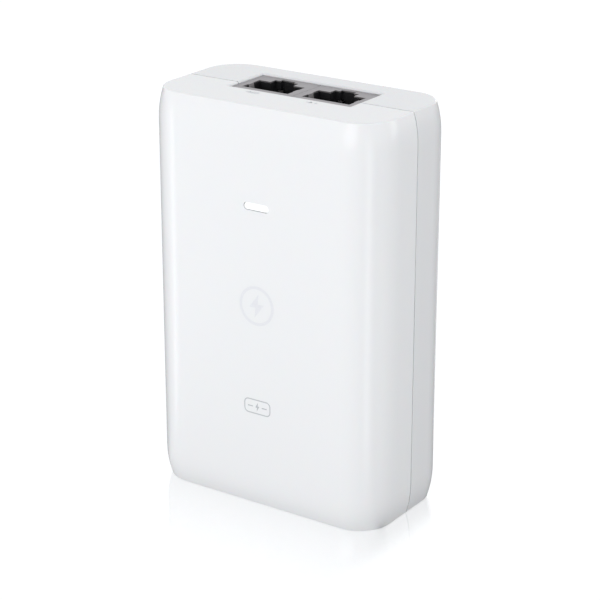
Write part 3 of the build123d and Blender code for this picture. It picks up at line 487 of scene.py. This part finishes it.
def solder_tree(material):
    """Solder cone on each point, drawn in as it climbs the lead."""
    group = bpy.data.node_groups.new("Solder Cones", "GeometryNodeTree")
    group.interface.new_socket("Geometry", in_out="INPUT", socket_type="NodeSocketGeometry")
    for name in ("Pad Radius", "Lead Radius", "Rise"):
        group.interface.new_socket(name, in_out="INPUT", socket_type="NodeSocketFloat")
    group.interface.new_socket("Geometry", in_out="OUTPUT", socket_type="NodeSocketGeometry")
    tree = Tree(group)
    given = tree.add("NodeGroupInput").outputs
    cone = tree.add("GeometryNodeMeshCone", {
        "Vertices": 18, "Side Segments": 4, "Radius Top": given["Lead Radius"],
        "Radius Bottom": given["Pad Radius"], "Depth": given["Rise"]}).outputs["Mesh"]
    place = tree.add("GeometryNodeInputPosition").outputs[0]
    share = tree.math("DIVIDE", tree.part(place, "Z"), given["Rise"])
    pinch = tree.math("MULTIPLY", share, tree.math("SUBTRACT", share, 1.0))
    flat = tree.vector("MULTIPLY", place, (1.0, 1.0, 0.0))
    inwards = tree.add("ShaderNodeVectorMath", {0: flat, "Scale": pinch}, operation="SCALE").outputs[0]
    drawn = tree.add("GeometryNodeSetPosition", {"Geometry": cone, "Offset": inwards}).outputs[0]
    on_points = tree.add("GeometryNodeInstanceOnPoints", {
        "Points": given["Geometry"], "Instance": drawn, "Rotation": (-pi / 2, 0.0, 0.0)}).outputs[0]
    whole = tree.add("GeometryNodeRealizeInstances", {"Geometry": on_points}).outputs[0]
    painted = tree.add("GeometryNodeSetMaterial", {"Geometry": whole, "Material": material}).outputs[0]
    tree.link(painted, tree.add("NodeGroupOutput").inputs[0])
    return group


def grow(name, points, tree, values):
    """Piece of the housing that a geometry node tree makes on some points."""
    mesh = bpy.data.meshes.new(name)
    mesh.from_pydata(points, [], [])
    piece = linked(name, mesh)
    modifier = piece.modifiers.new(name, "NODES")
    modifier.node_group = tree
    for item in tree.interface.items_tree:
        if item.in_out == "INPUT" and item.name in values:
            modifier[item.identifier] = values[item.name]
    grown = settled_mesh(piece)
    piece.modifiers.clear()
    piece.data = grown
    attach(piece, HOUSING)


# ---- printed marks ----

PRINT_LIFT = 0.01 * MM      # ink above the moulded surface
PRINT_DEPTH = 0.02 * MM     # ink below it, so that the mark is a closed solid


def front_place():
    """From a flat drawing to the front face, up the page to up the casing."""
    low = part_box("front_cover")[0]
    return Matrix(((1, 0, 0, 0), (0, 0, -1, low.y), (0, 1, 0, 0), (0, 0, 0, 1)))


def top_place():
    """From a flat drawing to the top face, up the page to the back."""
    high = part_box("front_cover")[1]
    return Matrix.Translation((0, 0, high.z))


def stroke(shape, place, points, width, closed=False, rounded=True):
    """Inked line of constant width through points in the drawing plane."""
    points = [Vector(p) for p in points]
    count = len(points)
    left, right = [], []
    for index, point in enumerate(points):
        before = points[index - 1] if closed or index else point
        after = points[(index + 1) % count] if closed or index < count - 1 else point
        along = (after - before).normalized()
        entry = (point - before).normalized() if point != before else along
        across = Vector((-along.y, along.x))
        reach = width / 2 / max(0.35, across.dot(Vector((-entry.y, entry.x))))
        left.append(point + across * reach)
        right.append(point - across * reach)
    ribbon(shape, place, left, right, closed)
    if rounded and not closed:
        for end in (points[0], points[-1]):
            dot(shape, place, end, width / 2)


def ribbon(shape, place, left, right, closed):
    """Thin solid between two edges of a line."""
    rows = []
    for z in (PRINT_LIFT, -PRINT_DEPTH):
        rows.append([shape.verts.new(place @ Vector((p.x, p.y, z))) for p in left])
        rows.append([shape.verts.new(place @ Vector((p.x, p.y, z))) for p in right])
    top_left, top_right, low_left, low_right = rows
    count = len(left)
    steps = range(count) if closed else range(count - 1)
    for a in steps:
        b = (a + 1) % count
        shape.faces.new((top_left[a], top_left[b], top_right[b], top_right[a]))
        shape.faces.new((low_left[b], low_left[a], low_right[a], low_right[b]))
        shape.faces.new((top_left[b], top_left[a], low_left[a], low_left[b]))
        shape.faces.new((top_right[a], top_right[b], low_right[b], low_right[a]))
    if not closed:
        shape.faces.new((top_left[0], top_right[0], low_right[0], low_left[0]))
        shape.faces.new((top_right[-1], top_left[-1], low_left[-1], low_right[-1]))


def outline_solid(shape, place, points):
    """Thin solid filling a closed outline."""
    top = [shape.verts.new(place @ Vector((x, y, PRINT_LIFT))) for x, y in points]
    low = [shape.verts.new(place @ Vector((x, y, -PRINT_DEPTH))) for x, y in points]
    shape.faces.new(top)
    shape.faces.new(reversed(low))
    for a in range(len(points)):
        b = (a + 1) % len(points)
        shape.faces.new((top[a], low[a], low[b], top[b]))


def dot(shape, place, centre, radius, sides=20):
    """Round inked spot."""
    x, y = centre[0], centre[1]
    turns = [2 * pi * k / sides for k in range(sides)]
    outline_solid(shape, place, [(x + radius * cos(t), y + radius * sin(t)) for t in turns])


def rounded_box(width, height, radius, centre=(0.0, 0.0), steps=6):
    """Points round a rounded rectangle."""
    points = []
    for quarter, (sx, sy) in enumerate(((1, 1), (-1, 1), (-1, -1), (1, -1))):
        cx = centre[0] + sx * (width / 2 - radius)
        cy = centre[1] + sy * (height / 2 - radius)
        for step in range(steps + 1):
            turn = (quarter + step / steps) * pi / 2
            points.append((cx + radius * cos(turn), cy + radius * sin(turn)))
    return points


def bolt_points(width, height, centre):
    """Lightning bolt, the usual sign for power."""
    shape = ((0.15, 0.5), (-0.5, -0.08), (-0.08, -0.08), (-0.15, -0.5), (0.5, 0.08), (0.08, 0.08))
    return [(centre[0] + x * width, centre[1] + y * height) for x, y in shape]


class INJECTOR_OT_printed_marks(bpy.types.Operator):
    """Badge, front symbol and port icons, all generic signs"""
    bl_idname = "injector.printed_marks"
    bl_label = "Printed Marks"

    def execute(self, context):
        look = context.scene.injector_print
        ink = printed_ink("Badge Ink", look.ink)
        pale = printed_ink("Pale Ink", look.pale_ink)
        drawn_piece("badge_print", lambda shape: self.badge(shape, look), ink)
        drawn_piece("symbol_print", lambda shape: self.symbol(shape, look), pale)
        drawn_piece("port_icon_print", lambda shape: self.icons(shape, look), ink)
        return {"FINISHED"}

    def badge(self, shape, look):
        """Rounded outline with a power bolt between two cable strokes."""
        place = front_place()
        at = (0.0, look.badge_rise)
        inner = look.badge_height / 2
        radius = look.badge_height * 0.29
        outline = rounded_box(look.badge_width - look.line, look.badge_height - look.line, radius, at)
        stroke(shape, place, outline, look.line, closed=True)
        outline_solid(shape, place, bolt_points(inner * 0.62, inner * 1.25, at))
        for side in (-1, 1):
            start = (side * inner * 0.75, look.badge_rise)
            end = (side * inner * 1.4, look.badge_rise)
            stroke(shape, place, (start, end), look.line)

    def symbol(self, shape, look):
        """Ring with a power bolt in it."""
        place = front_place()
        size = look.symbol_size
        sides = 56
        turns = [2 * pi * k / sides for k in range(sides)]
        radius = size * 0.46
        ring = [(radius * cos(t), look.symbol_rise + radius * sin(t)) for t in turns]
        stroke(shape, place, ring, size * 0.075, closed=True)
        outline_solid(shape, place, bolt_points(size * 0.42, size * 0.62, (0.0, look.symbol_rise)))

    def icons(self, shape, look):
        """Arrow into the left port, arrow with a bolt at the right port."""
        place = top_place()
        size = look.icon_size
        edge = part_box("lan_jack_shield")[0].y
        y = edge - size * 0.62
        for name in PORTS:
            x = middle(name + "_jack_shield").x
            line = size * 0.075
            stroke(shape, place, ((x - size * 0.5, y), (x - size * 0.12, y)), line)
            stroke(shape, place, ((x - size * 0.26, y - size * 0.12), (x - size * 0.12, y),
                                  (x - size * 0.26, y + size * 0.12)), line)
            if name == "poe":
                outline_solid(shape, place, bolt_points(size * 0.2, size * 0.36, (x + size * 0.2, y)))
            else:
                box = rounded_box(size * 0.42, size * 0.26, size * 0.04, (x + size * 0.24, y))
                stroke(shape, place, box, line, closed=True)


def printed_ink(name, tone):
    """Pad-printed ink with slightly uneven cover."""
    material, tree, shader, place = start_material(name, Roughness=0.55)
    patches = tree.add("ShaderNodeTexNoise", {"Vector": place, "Scale": 2600.0, "Detail": 3.0})
    shade = tree.mix(patches.outputs[0], rgba(tone, 0.94), rgba(tone, 1.06))
    tree.link(shade, shader.inputs["Base Color"])
    bump(tree, shader, patches.outputs[0], 0.004 * MM)
    return material


# ---- casing ----

class INJECTOR_OT_casing(bpy.types.Operator):
    """White covers, wall bracket and blank label"""
    bl_idname = "injector.casing"
    bl_label = "Casing"

    def execute(self, context):
        look = context.scene.injector_casing
        # The rear cover's darker colour is painted shade on the same white plastic, not a different plastic.
        for name, tone in (("front", look.shell), ("rear", look.shaded_rear_shell)):
            shell = moulded(
                name.title() + " Cover White", tone, look.roughness, look.grain, relief=0.003 * MM,
                spread=0.004, smears=0.02, Subsurface_Weight=0.06, Subsurface_Scale=2 * MM)
            dress(shell, name + "_cover")
        dress(moulded("Bracket White", look.bracket, 0.5, 0.3 * MM), "wall_bracket")
        dress(moulded("Label Silver", look.label, 0.35, 0.2 * MM, Metallic=0.6), "rating_label")
        return {"FINISHED"}


# ---- status light ----

class INJECTOR_OT_status_light(bpy.types.Operator):
    """Lit lens, its rod and the LED behind it"""
    bl_idname = "injector.status_light"
    bl_label = "Status Light"
    SKIN = 0.08 * MM            # depth of the lens's bright front face
    # Painted shade of the gap between the lens and its slot, coloured onto the lens's sides.
    GAP_SHADE = (0.34, 0.34, 0.35, 1.0)

    def execute(self, context):
        look = context.scene.injector_casing
        dress(self.lens(look.glow), "light_pipe")
        dress(moulded("LED Package", (0.85, 0.82, 0.62), 0.3, 0.2 * MM), "status_led")
        return {"FINISHED"}

    def lens(self, glow):
        """Frosted lens, lit at its front face, with painted shade on its sides for the gap round it."""
        material, tree, shader, place = start_material("Light Lens", Roughness=0.3, Coat_Weight=0.3)
        frost = tree.add("ShaderNodeTexNoise", {"Vector": place, "Scale": 1500.0, "Detail": 3.0})
        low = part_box("light_pipe")[0]
        face = tree.ramp(
            tree.part(place, "Y"), low.y + self.SKIN / 4, low.y + self.SKIN, 1.0, 0.0, kind="LINEAR")
        shade = tree.mix(frost.outputs[0], (0.93, 0.94, 0.96, 1.0), (1.0, 1.0, 1.0, 1.0))
        # The lens's sides take the painted gap shade, and its front face takes the frosted white.
        tree.link(tree.mix(face, self.GAP_SHADE, shade), shader.inputs["Base Color"])
        lit = tree.mix(face, (0.0, 0.0, 0.0, 1.0), (1.0, 1.0, 1.0, 1.0))
        tree.link(lit, shader.inputs["Emission Color"])
        shader.inputs["Emission Strength"].default_value = glow
        bump(tree, shader, frost.outputs[0], 0.01 * MM)
        return material


# ---- jacks and inlet ----

class INJECTOR_OT_jacks(bpy.types.Operator):
    """Shields, inserts and contacts of the two jacks"""
    bl_idname = "injector.jacks"
    bl_label = "Jacks"
    CONTACTS = 8
    WIRE = 0.35 * MM            # thickness of a contact wire
    BOW = 0.12 * MM             # how far the sprung arms bow
    STEPS = 12

    def execute(self, context):
        shield = sheet_metal("Nickel Sheet", (0.36, 0.345, 0.355), 0.45, turn=(0.0, 0.0, pi / 2))
        insert = moulded("Jack Black", (0.012, 0.012, 0.014), 0.42, 0.3 * MM, spread=0.2)
        gold = sheet_metal("Gold Plate", (0.90, 0.66, 0.26), 0.25)
        for name in PORTS:
            dress(shield, name + "_jack_shield")
            dress(insert, name + "_jack_insert")
            dress(gold, name + "_contact_tails")
            self.contact_wires(name, gold)
        return {"FINISHED"}

    def contact_wires(self, name, gold):
        """Eight round sprung wires from the bend down into the opening."""
        node = name + "_contact_arms"
        low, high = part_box(node)
        radius = self.WIRE / 2
        pitch = (high.x - low.x - self.WIRE) / (self.CONTACTS - 1)
        start = Vector((0, low.y + radius, high.z - radius))
        end = Vector((0, high.y - radius, low.z + radius))
        across = Vector((0, end.z - start.z, start.y - end.y)).normalized()
        paths = []
        for index in range(self.CONTACTS):
            side = Vector((low.x + radius + index * pitch, 0, 0))
            path = []
            for step in range(self.STEPS + 1):
                share = step / self.STEPS
                bow = self.BOW * sin(pi * share)
                path.append(side + start.lerp(end, share) - across * bow)
            paths.append(path)
        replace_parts(wires(name + "_contact_wires", paths, radius, gold, name + "_contacts"), node)


class INJECTOR_OT_inlet(bpy.types.Operator):
    """Mains inlet and its pins"""
    bl_idname = "injector.inlet"
    bl_label = "Mains Inlet"

    def execute(self, context):
        dress(moulded("Inlet Black", (0.018, 0.018, 0.02), 0.5, 0.4 * MM, spread=0.2), "ac_inlet_body")
        dress(sheet_metal("Nickel Pin", (0.66, 0.64, 0.60), 0.28), "ac_inlet_pins")
        return {"FINISHED"}


# ---- circuit board and its parts ----

class INJECTOR_OT_electronics(bpy.types.Operator):
    """Circuit board and every part on it"""
    bl_idname = "injector.electronics"
    bl_label = "Electronics"
    LEAD_SHOWS = 0.02 * MM      # leads are bare from this far in front of the board

    def execute(self, context):
        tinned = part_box("main_board")[0].y - self.LEAD_SHOWS
        epoxy = moulded("Epoxy Black", (0.02, 0.02, 0.022), 0.55, 0.15 * MM, spread=0.15, tinned=tinned)
        dress(epoxy, "fuse", "choke_base", "bridge_rectifier", "mosfet", "output_diode",
              "transformer_bobbin", "pwm_controller", "pse_controller", "data_transformers", "surge_diodes")
        ferrite = moulded(
            "Ferrite Grey", (0.055, 0.055, 0.06), 0.6, 0.2 * MM, relief=0.03 * MM, spread=0.25, tinned=tinned)
        dress(ferrite, "choke_core", "transformer_core", "output_choke")
        dipped = moulded(
            "Dipped Blue", (0.02, 0.10, 0.42), 0.22, 0.8 * MM, relief=0.04 * MM, tinned=tinned,
            Coat_Weight=0.6)
        dress(dipped, "varistor", "y_capacitor")
        dress(moulded("Box Yellow", (0.78, 0.56, 0.05), 0.3, 0.5 * MM, tinned=tinned), "x_capacitor")
        tape = moulded("Tape Yellow", (0.85, 0.62, 0.05), 0.25, 0.6 * MM, Coat_Weight=0.4)
        dress(tape, "transformer_winding")
        dress(moulded("Coupler White", (0.80, 0.79, 0.75), 0.4, tinned=tinned), "optocoupler")
        dress(moulded("Chip Tan", (0.36, 0.24, 0.14), 0.5), "chip_passives")
        dress(moulded("Pad Grey", (0.30, 0.32, 0.35), 0.7, 0.1 * MM), "device_pads")
        dress(moulded("Film Amber", (0.72, 0.66, 0.45), 0.18, 1 * MM, relief=0.01 * MM), "insulating_sheet")
        sleeve = moulded("Sleeve Blue", (0.02, 0.03, 0.14), 0.25, 0.6 * MM, tinned=tinned)
        dress(sleeve, "bulk_capacitor", "output_capacitors")
        dress(moulded("Board Green", (0.01, 0.12, 0.05), 0.35, 0.6 * MM, spread=0.15), "main_board")
        sink = sheet_metal("Sink Aluminium", (0.78, 0.79, 0.80), 0.38)
        dress(sink, "primary_heatsink", "secondary_heatsink")
        dress(sheet_metal("Screw Zinc", (0.60, 0.61, 0.62), 0.3), "board_screws", "device_screws")
        return {"FINISHED"}


class INJECTOR_OT_choke_windings(bpy.types.Operator):
    """Two enamelled wires wound round the choke's ring"""
    bl_idname = "injector.choke_windings"
    bl_label = "Choke Windings"
    TURNS = 8
    TURN_STEP = 19.0            # degrees from turn to turn
    CORNER_STEPS = 5
    CORNER = 0.9                # corner radius of a turn, in wire thicknesses

    def execute(self, context):
        look = context.scene.injector_wire
        copper = sheet_metal("Enamelled Copper", (0.75, 0.28, 0.10), 0.22, Coat_Weight=0.5)
        low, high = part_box("choke_core")
        centre = (low + high) / 2
        room = look.choke_wire / 2 + look.choke_gap
        radius = (high.z - low.z) / 2
        width = high.x - low.x + 2 * room
        depth = radius - look.choke_bore + 2 * room
        corner = look.choke_wire * self.CORNER
        ring_middle = (radius + look.choke_bore) / 2
        section = rounded_box(width, depth, corner, (0.0, ring_middle), self.CORNER_STEPS)
        first = 90 - self.TURN_STEP * (self.TURNS - 0.5) / 2
        paths = []
        for half in (0, 180):
            path = []
            for turn in range(self.TURNS):
                for index, (x, reach) in enumerate(section):
                    angle = radians(first + half + (turn + index / len(section)) * self.TURN_STEP)
                    path.append(centre + Vector((x, reach * cos(angle), reach * sin(angle))))
            paths.append(path)
        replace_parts(wires("choke_wires", paths, look.choke_wire / 2, copper, HOUSING), "choke_windings")
        return {"FINISHED"}


class INJECTOR_OT_solder(bpy.types.Operator):
    """Solder round every lead on the back of the board"""
    bl_idname = "injector.solder"
    bl_label = "Solder"
    LEADED = (
        "fuse", "varistor", "x_capacitor", "choke_base", "bridge_rectifier", "bulk_capacitor", "mosfet",
        "output_diode", "transformer_bobbin", "optocoupler", "y_capacitor", "output_capacitors",
        "output_choke", "lan_contact_tails", "poe_contact_tails")

    def execute(self, context):
        look = context.scene.injector_wire
        solder = sheet_metal("Solder", (0.72, 0.73, 0.74), 0.24)
        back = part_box("main_board")[1].y
        tips = lead_tips(self.LEADED, back + look.solder_rise)
        points = [(x, back, z) for x, z in tips]
        values = {"Pad Radius": look.solder_pad, "Lead Radius": look.solder_lead, "Rise": look.solder_rise}
        grow("solder_joints", points, solder_tree(solder), values)
        return {"FINISHED"}


# ---- studio ----

class INJECTOR_OT_studio(bpy.types.Operator):
    """White floor, soft lights and the camera"""
    bl_idname = "injector.studio"
    bl_label = "Studio"
    CORNER = 9 * MM             # radius of the casing's upright edges
    BAND = radians(9)           # half width of the bright strips on the floor
    BAND_START = 70 * MM        # the bright strips are full this far from the base
    SEEN = 1.06                 # brightness of the surroundings where they are seen
    MIRRORED = 1.0              # and where glossy surfaces mirror them
    SIDE_FADE = 4.0             # the floor's reflection fades this much faster beside the casing
    SHADE = 0.75                # the floor's glow at the base
    SHADE_REACH = 5 * MM        # and how far from the base it is dimmed
    FLOOR_REACH = 3.0
    FLOOR_DROP = 0.01 * MM
    WHITE = (1.0, 1.0, 1.0, 1.0)
    COOL = (0.96, 0.98, 1.0, 1.0)
    SKY = (0.975, 0.988, 1.0, 1.0)

    def execute(self, context):
        look = context.scene.injector_stage
        self.floor(look)
        self.surroundings(context.scene, look.fill)
        self.light("key", look.key_power, (0.6, 0.6), (-0.05, -0.96, 0.14), (0, 0, 0.05))
        self.light("right", look.right_power, (0.5, 0.5), (0.85, 0.62, 0.30), (0.03, 0, 0.05))
        self.light("back", look.back_power, (0.6, 0.5), (-0.15, 0.95, 0.12), (0, 0.02, 0.05))
        self.camera(context.scene, look)
        context.scene.view_settings.view_transform = "Standard"
        return {"FINISHED"}

    def floor(self, look):
        """Clear sheet over white, with a faint reflection that fades away from the base."""
        mesh = bpy.data.meshes.new("floor")
        reach = self.FLOOR_REACH
        corners = ((-reach, -reach), (reach, -reach), (reach, reach), (-reach, reach))
        mesh.from_pydata([(x, y, -self.FLOOR_DROP) for x, y in corners], [], [(0, 1, 2, 3)])
        material, tree, shader, place = start_material("Studio White")
        low, high = CAD_BOX
        half = (high - low) / 2
        past = tree.vector("SUBTRACT", tree.vector("ABSOLUTE", place), (half.x, half.y, 1.0))
        out = tree.vector("MAXIMUM", past, (0.0, 0.0, 0.0))
        seen = self.reflection(tree, out, look)
        lighting = self.lighting(tree, place, out, half, look)
        path = tree.add("ShaderNodeLightPath").outputs["Is Camera Ray"]
        both = tree.add("ShaderNodeMixShader", {0: path, 1: lighting, 2: seen})
        tree.link(both.outputs[0], material.node_tree.nodes["Material Output"].inputs["Surface"])
        material.node_tree.nodes.remove(shader)
        mesh.materials.append(material)
        linked("floor", mesh)

    def reflection(self, tree, out, look):
        """What is seen of the floor: a mirror at the base that fades to clear."""
        gap = tree.vector("LENGTH", tree.vector("MULTIPLY", out, (self.SIDE_FADE, 1.0, 1.0)), result="Value")
        far = tree.ramp(gap, 0.0, look.fade, kind="SMOOTHERSTEP")
        near = tree.math("MULTIPLY_ADD", far, -look.mirror, look.mirror)
        clear = tree.add("ShaderNodeBsdfTransparent").outputs[0]
        gloss = tree.add("ShaderNodeBsdfGlossy", {"Color": self.WHITE, "Roughness": 0.07}).outputs[0]
        return tree.add("ShaderNodeMixShader", {0: near, 1: clear, 2: gloss}).outputs[0]

    def lighting(self, tree, place, out, half, look):
        """What the floor throws on the casing: soft sectors and two bright strips."""
        inset = half.y - self.CORNER
        left = self.bearing(tree, place, self.CORNER - half.x, -inset)
        right = self.bearing(tree, place, half.x - self.CORNER, -inset)
        front = tree.math("MULTIPLY", self.sector(tree, left, -85, -65), self.sector(tree, right, 72, 56))
        beside = tree.math("MULTIPLY", self.sector(tree, right, 65, 85), self.sector(tree, right, 175, 145))
        glow = tree.math("MULTIPLY_ADD", front, look.front_glow - look.back_glow, look.back_glow)
        glow = tree.math("MULTIPLY_ADD", beside, look.side_glow - look.back_glow, glow)
        close = tree.vector("LENGTH", out, result="Value")
        begun = tree.ramp(close, 0.0, self.BAND_START)
        for turn, azimuth, strength in (
                (left, look.left_azimuth, look.left_band), (right, look.right_azimuth, look.right_band)):
            off = tree.math("ABSOLUTE", tree.math("SUBTRACT", turn, azimuth))
            strip = tree.math("MULTIPLY", tree.ramp(off, self.BAND, 0.0), begun)
            glow = tree.math("MULTIPLY_ADD", strip, strength, glow)
        glow = tree.math("MULTIPLY", glow, tree.ramp(close, 0.0, self.SHADE_REACH, low=self.SHADE))
        return tree.add("ShaderNodeEmission", {"Color": self.COOL, "Strength": glow}).outputs[0]

    def bearing(self, tree, place, x, y):
        """Direction from an upright edge of the casing, turned from the front."""
        away = tree.vector("SUBTRACT", place, (x, y, 0.0))
        return tree.math("ARCTAN2", tree.part(away, "X"), tree.math("MULTIPLY", tree.part(away, "Y"), -1.0))

    def sector(self, tree, bearing, start, end):
        """Smooth rise from 0 to 1 between two bearings in degrees."""
        return tree.ramp(bearing, radians(start), radians(end))

    def surroundings(self, scene, fill):
        """White backdrop, dimmer as a light source than it looks."""
        world = bpy.data.worlds.new("Studio")
        world.use_nodes = True
        scene.world = world
        tree = Tree(world.node_tree)
        background = world.node_tree.nodes["Background"]
        background.inputs["Color"].default_value = self.SKY
        path = tree.add("ShaderNodeLightPath").outputs
        mirrored = tree.math("MULTIPLY_ADD", path["Is Glossy Ray"], self.MIRRORED - fill, fill)
        seen = tree.math("MULTIPLY_ADD", path["Is Camera Ray"], self.SEEN - fill, mirrored)
        tree.link(seen, background.inputs["Strength"])

    def light(self, name, power, size, place, aim):
        """Rectangular soft light aimed at a point."""
        data = bpy.data.lights.new(name, "AREA")
        data.energy = power
        data.shape = "RECTANGLE"
        data.size, data.size_y = size
        lamp = linked(name, data)
        lamp.location = place
        lamp.rotation_euler = (Vector(aim) - Vector(place)).to_track_quat("-Z", "Y").to_euler()

    def camera(self, scene, look):
        """Long lens, a little above the top face and to the right of the front."""
        data = bpy.data.cameras.new("camera")
        data.lens = look.lens
        camera = linked("camera", data)
        flat = cos(look.elevation)
        back = Vector((sin(look.azimuth) * flat, -cos(look.azimuth) * flat, sin(look.elevation)))
        camera.location = Vector(look.target) + back * look.distance
        camera.rotation_euler = back.to_track_quat("Z", "Y").to_euler()
        scene.camera = camera


# ---- add-on ----

OPERATORS = (
    INJECTOR_OT_casing,
    INJECTOR_OT_printed_marks,
    INJECTOR_OT_status_light,
    INJECTOR_OT_jacks,
    INJECTOR_OT_inlet,
    INJECTOR_OT_electronics,
    INJECTOR_OT_choke_windings,
    INJECTOR_OT_solder,
    INJECTOR_OT_studio,
)
LOOKS = {
    "injector_casing": CasingLook,
    "injector_print": PrintLook,
    "injector_wire": WireLook,
    "injector_stage": StageLook,
}


class INJECTOR_PT_panel(bpy.types.Panel):
    """Lists every operator"""
    bl_idname = "INJECTOR_PT_panel"
    bl_label = "Injector"
    bl_space_type = "VIEW_3D"
    bl_region_type = "UI"
    bl_category = "Injector"

    def draw(self, context):
        for operator in OPERATORS:
            self.layout.operator(operator.bl_idname)


def register():
    for group in LOOKS.values():
        bpy.utils.register_class(group)
    for name, group in LOOKS.items():
        setattr(bpy.types.Scene, name, PointerProperty(type=group))
    for operator in OPERATORS:
        bpy.utils.register_class(operator)
    bpy.utils.register_class(INJECTOR_PT_panel)


def unregister():
    bpy.utils.unregister_class(INJECTOR_PT_panel)
    for operator in reversed(OPERATORS):
        bpy.utils.unregister_class(operator)
    for name, group in LOOKS.items():
        delattr(bpy.types.Scene, name)
        bpy.utils.unregister_class(group)


def main():
    """Registers the add-on and runs every operator in order."""
    register()
    for operator in OPERATORS:
        family, name = operator.bl_idname.split(".")
        getattr(getattr(bpy.ops, family), name)()


if __name__ == "__main__":
    main()
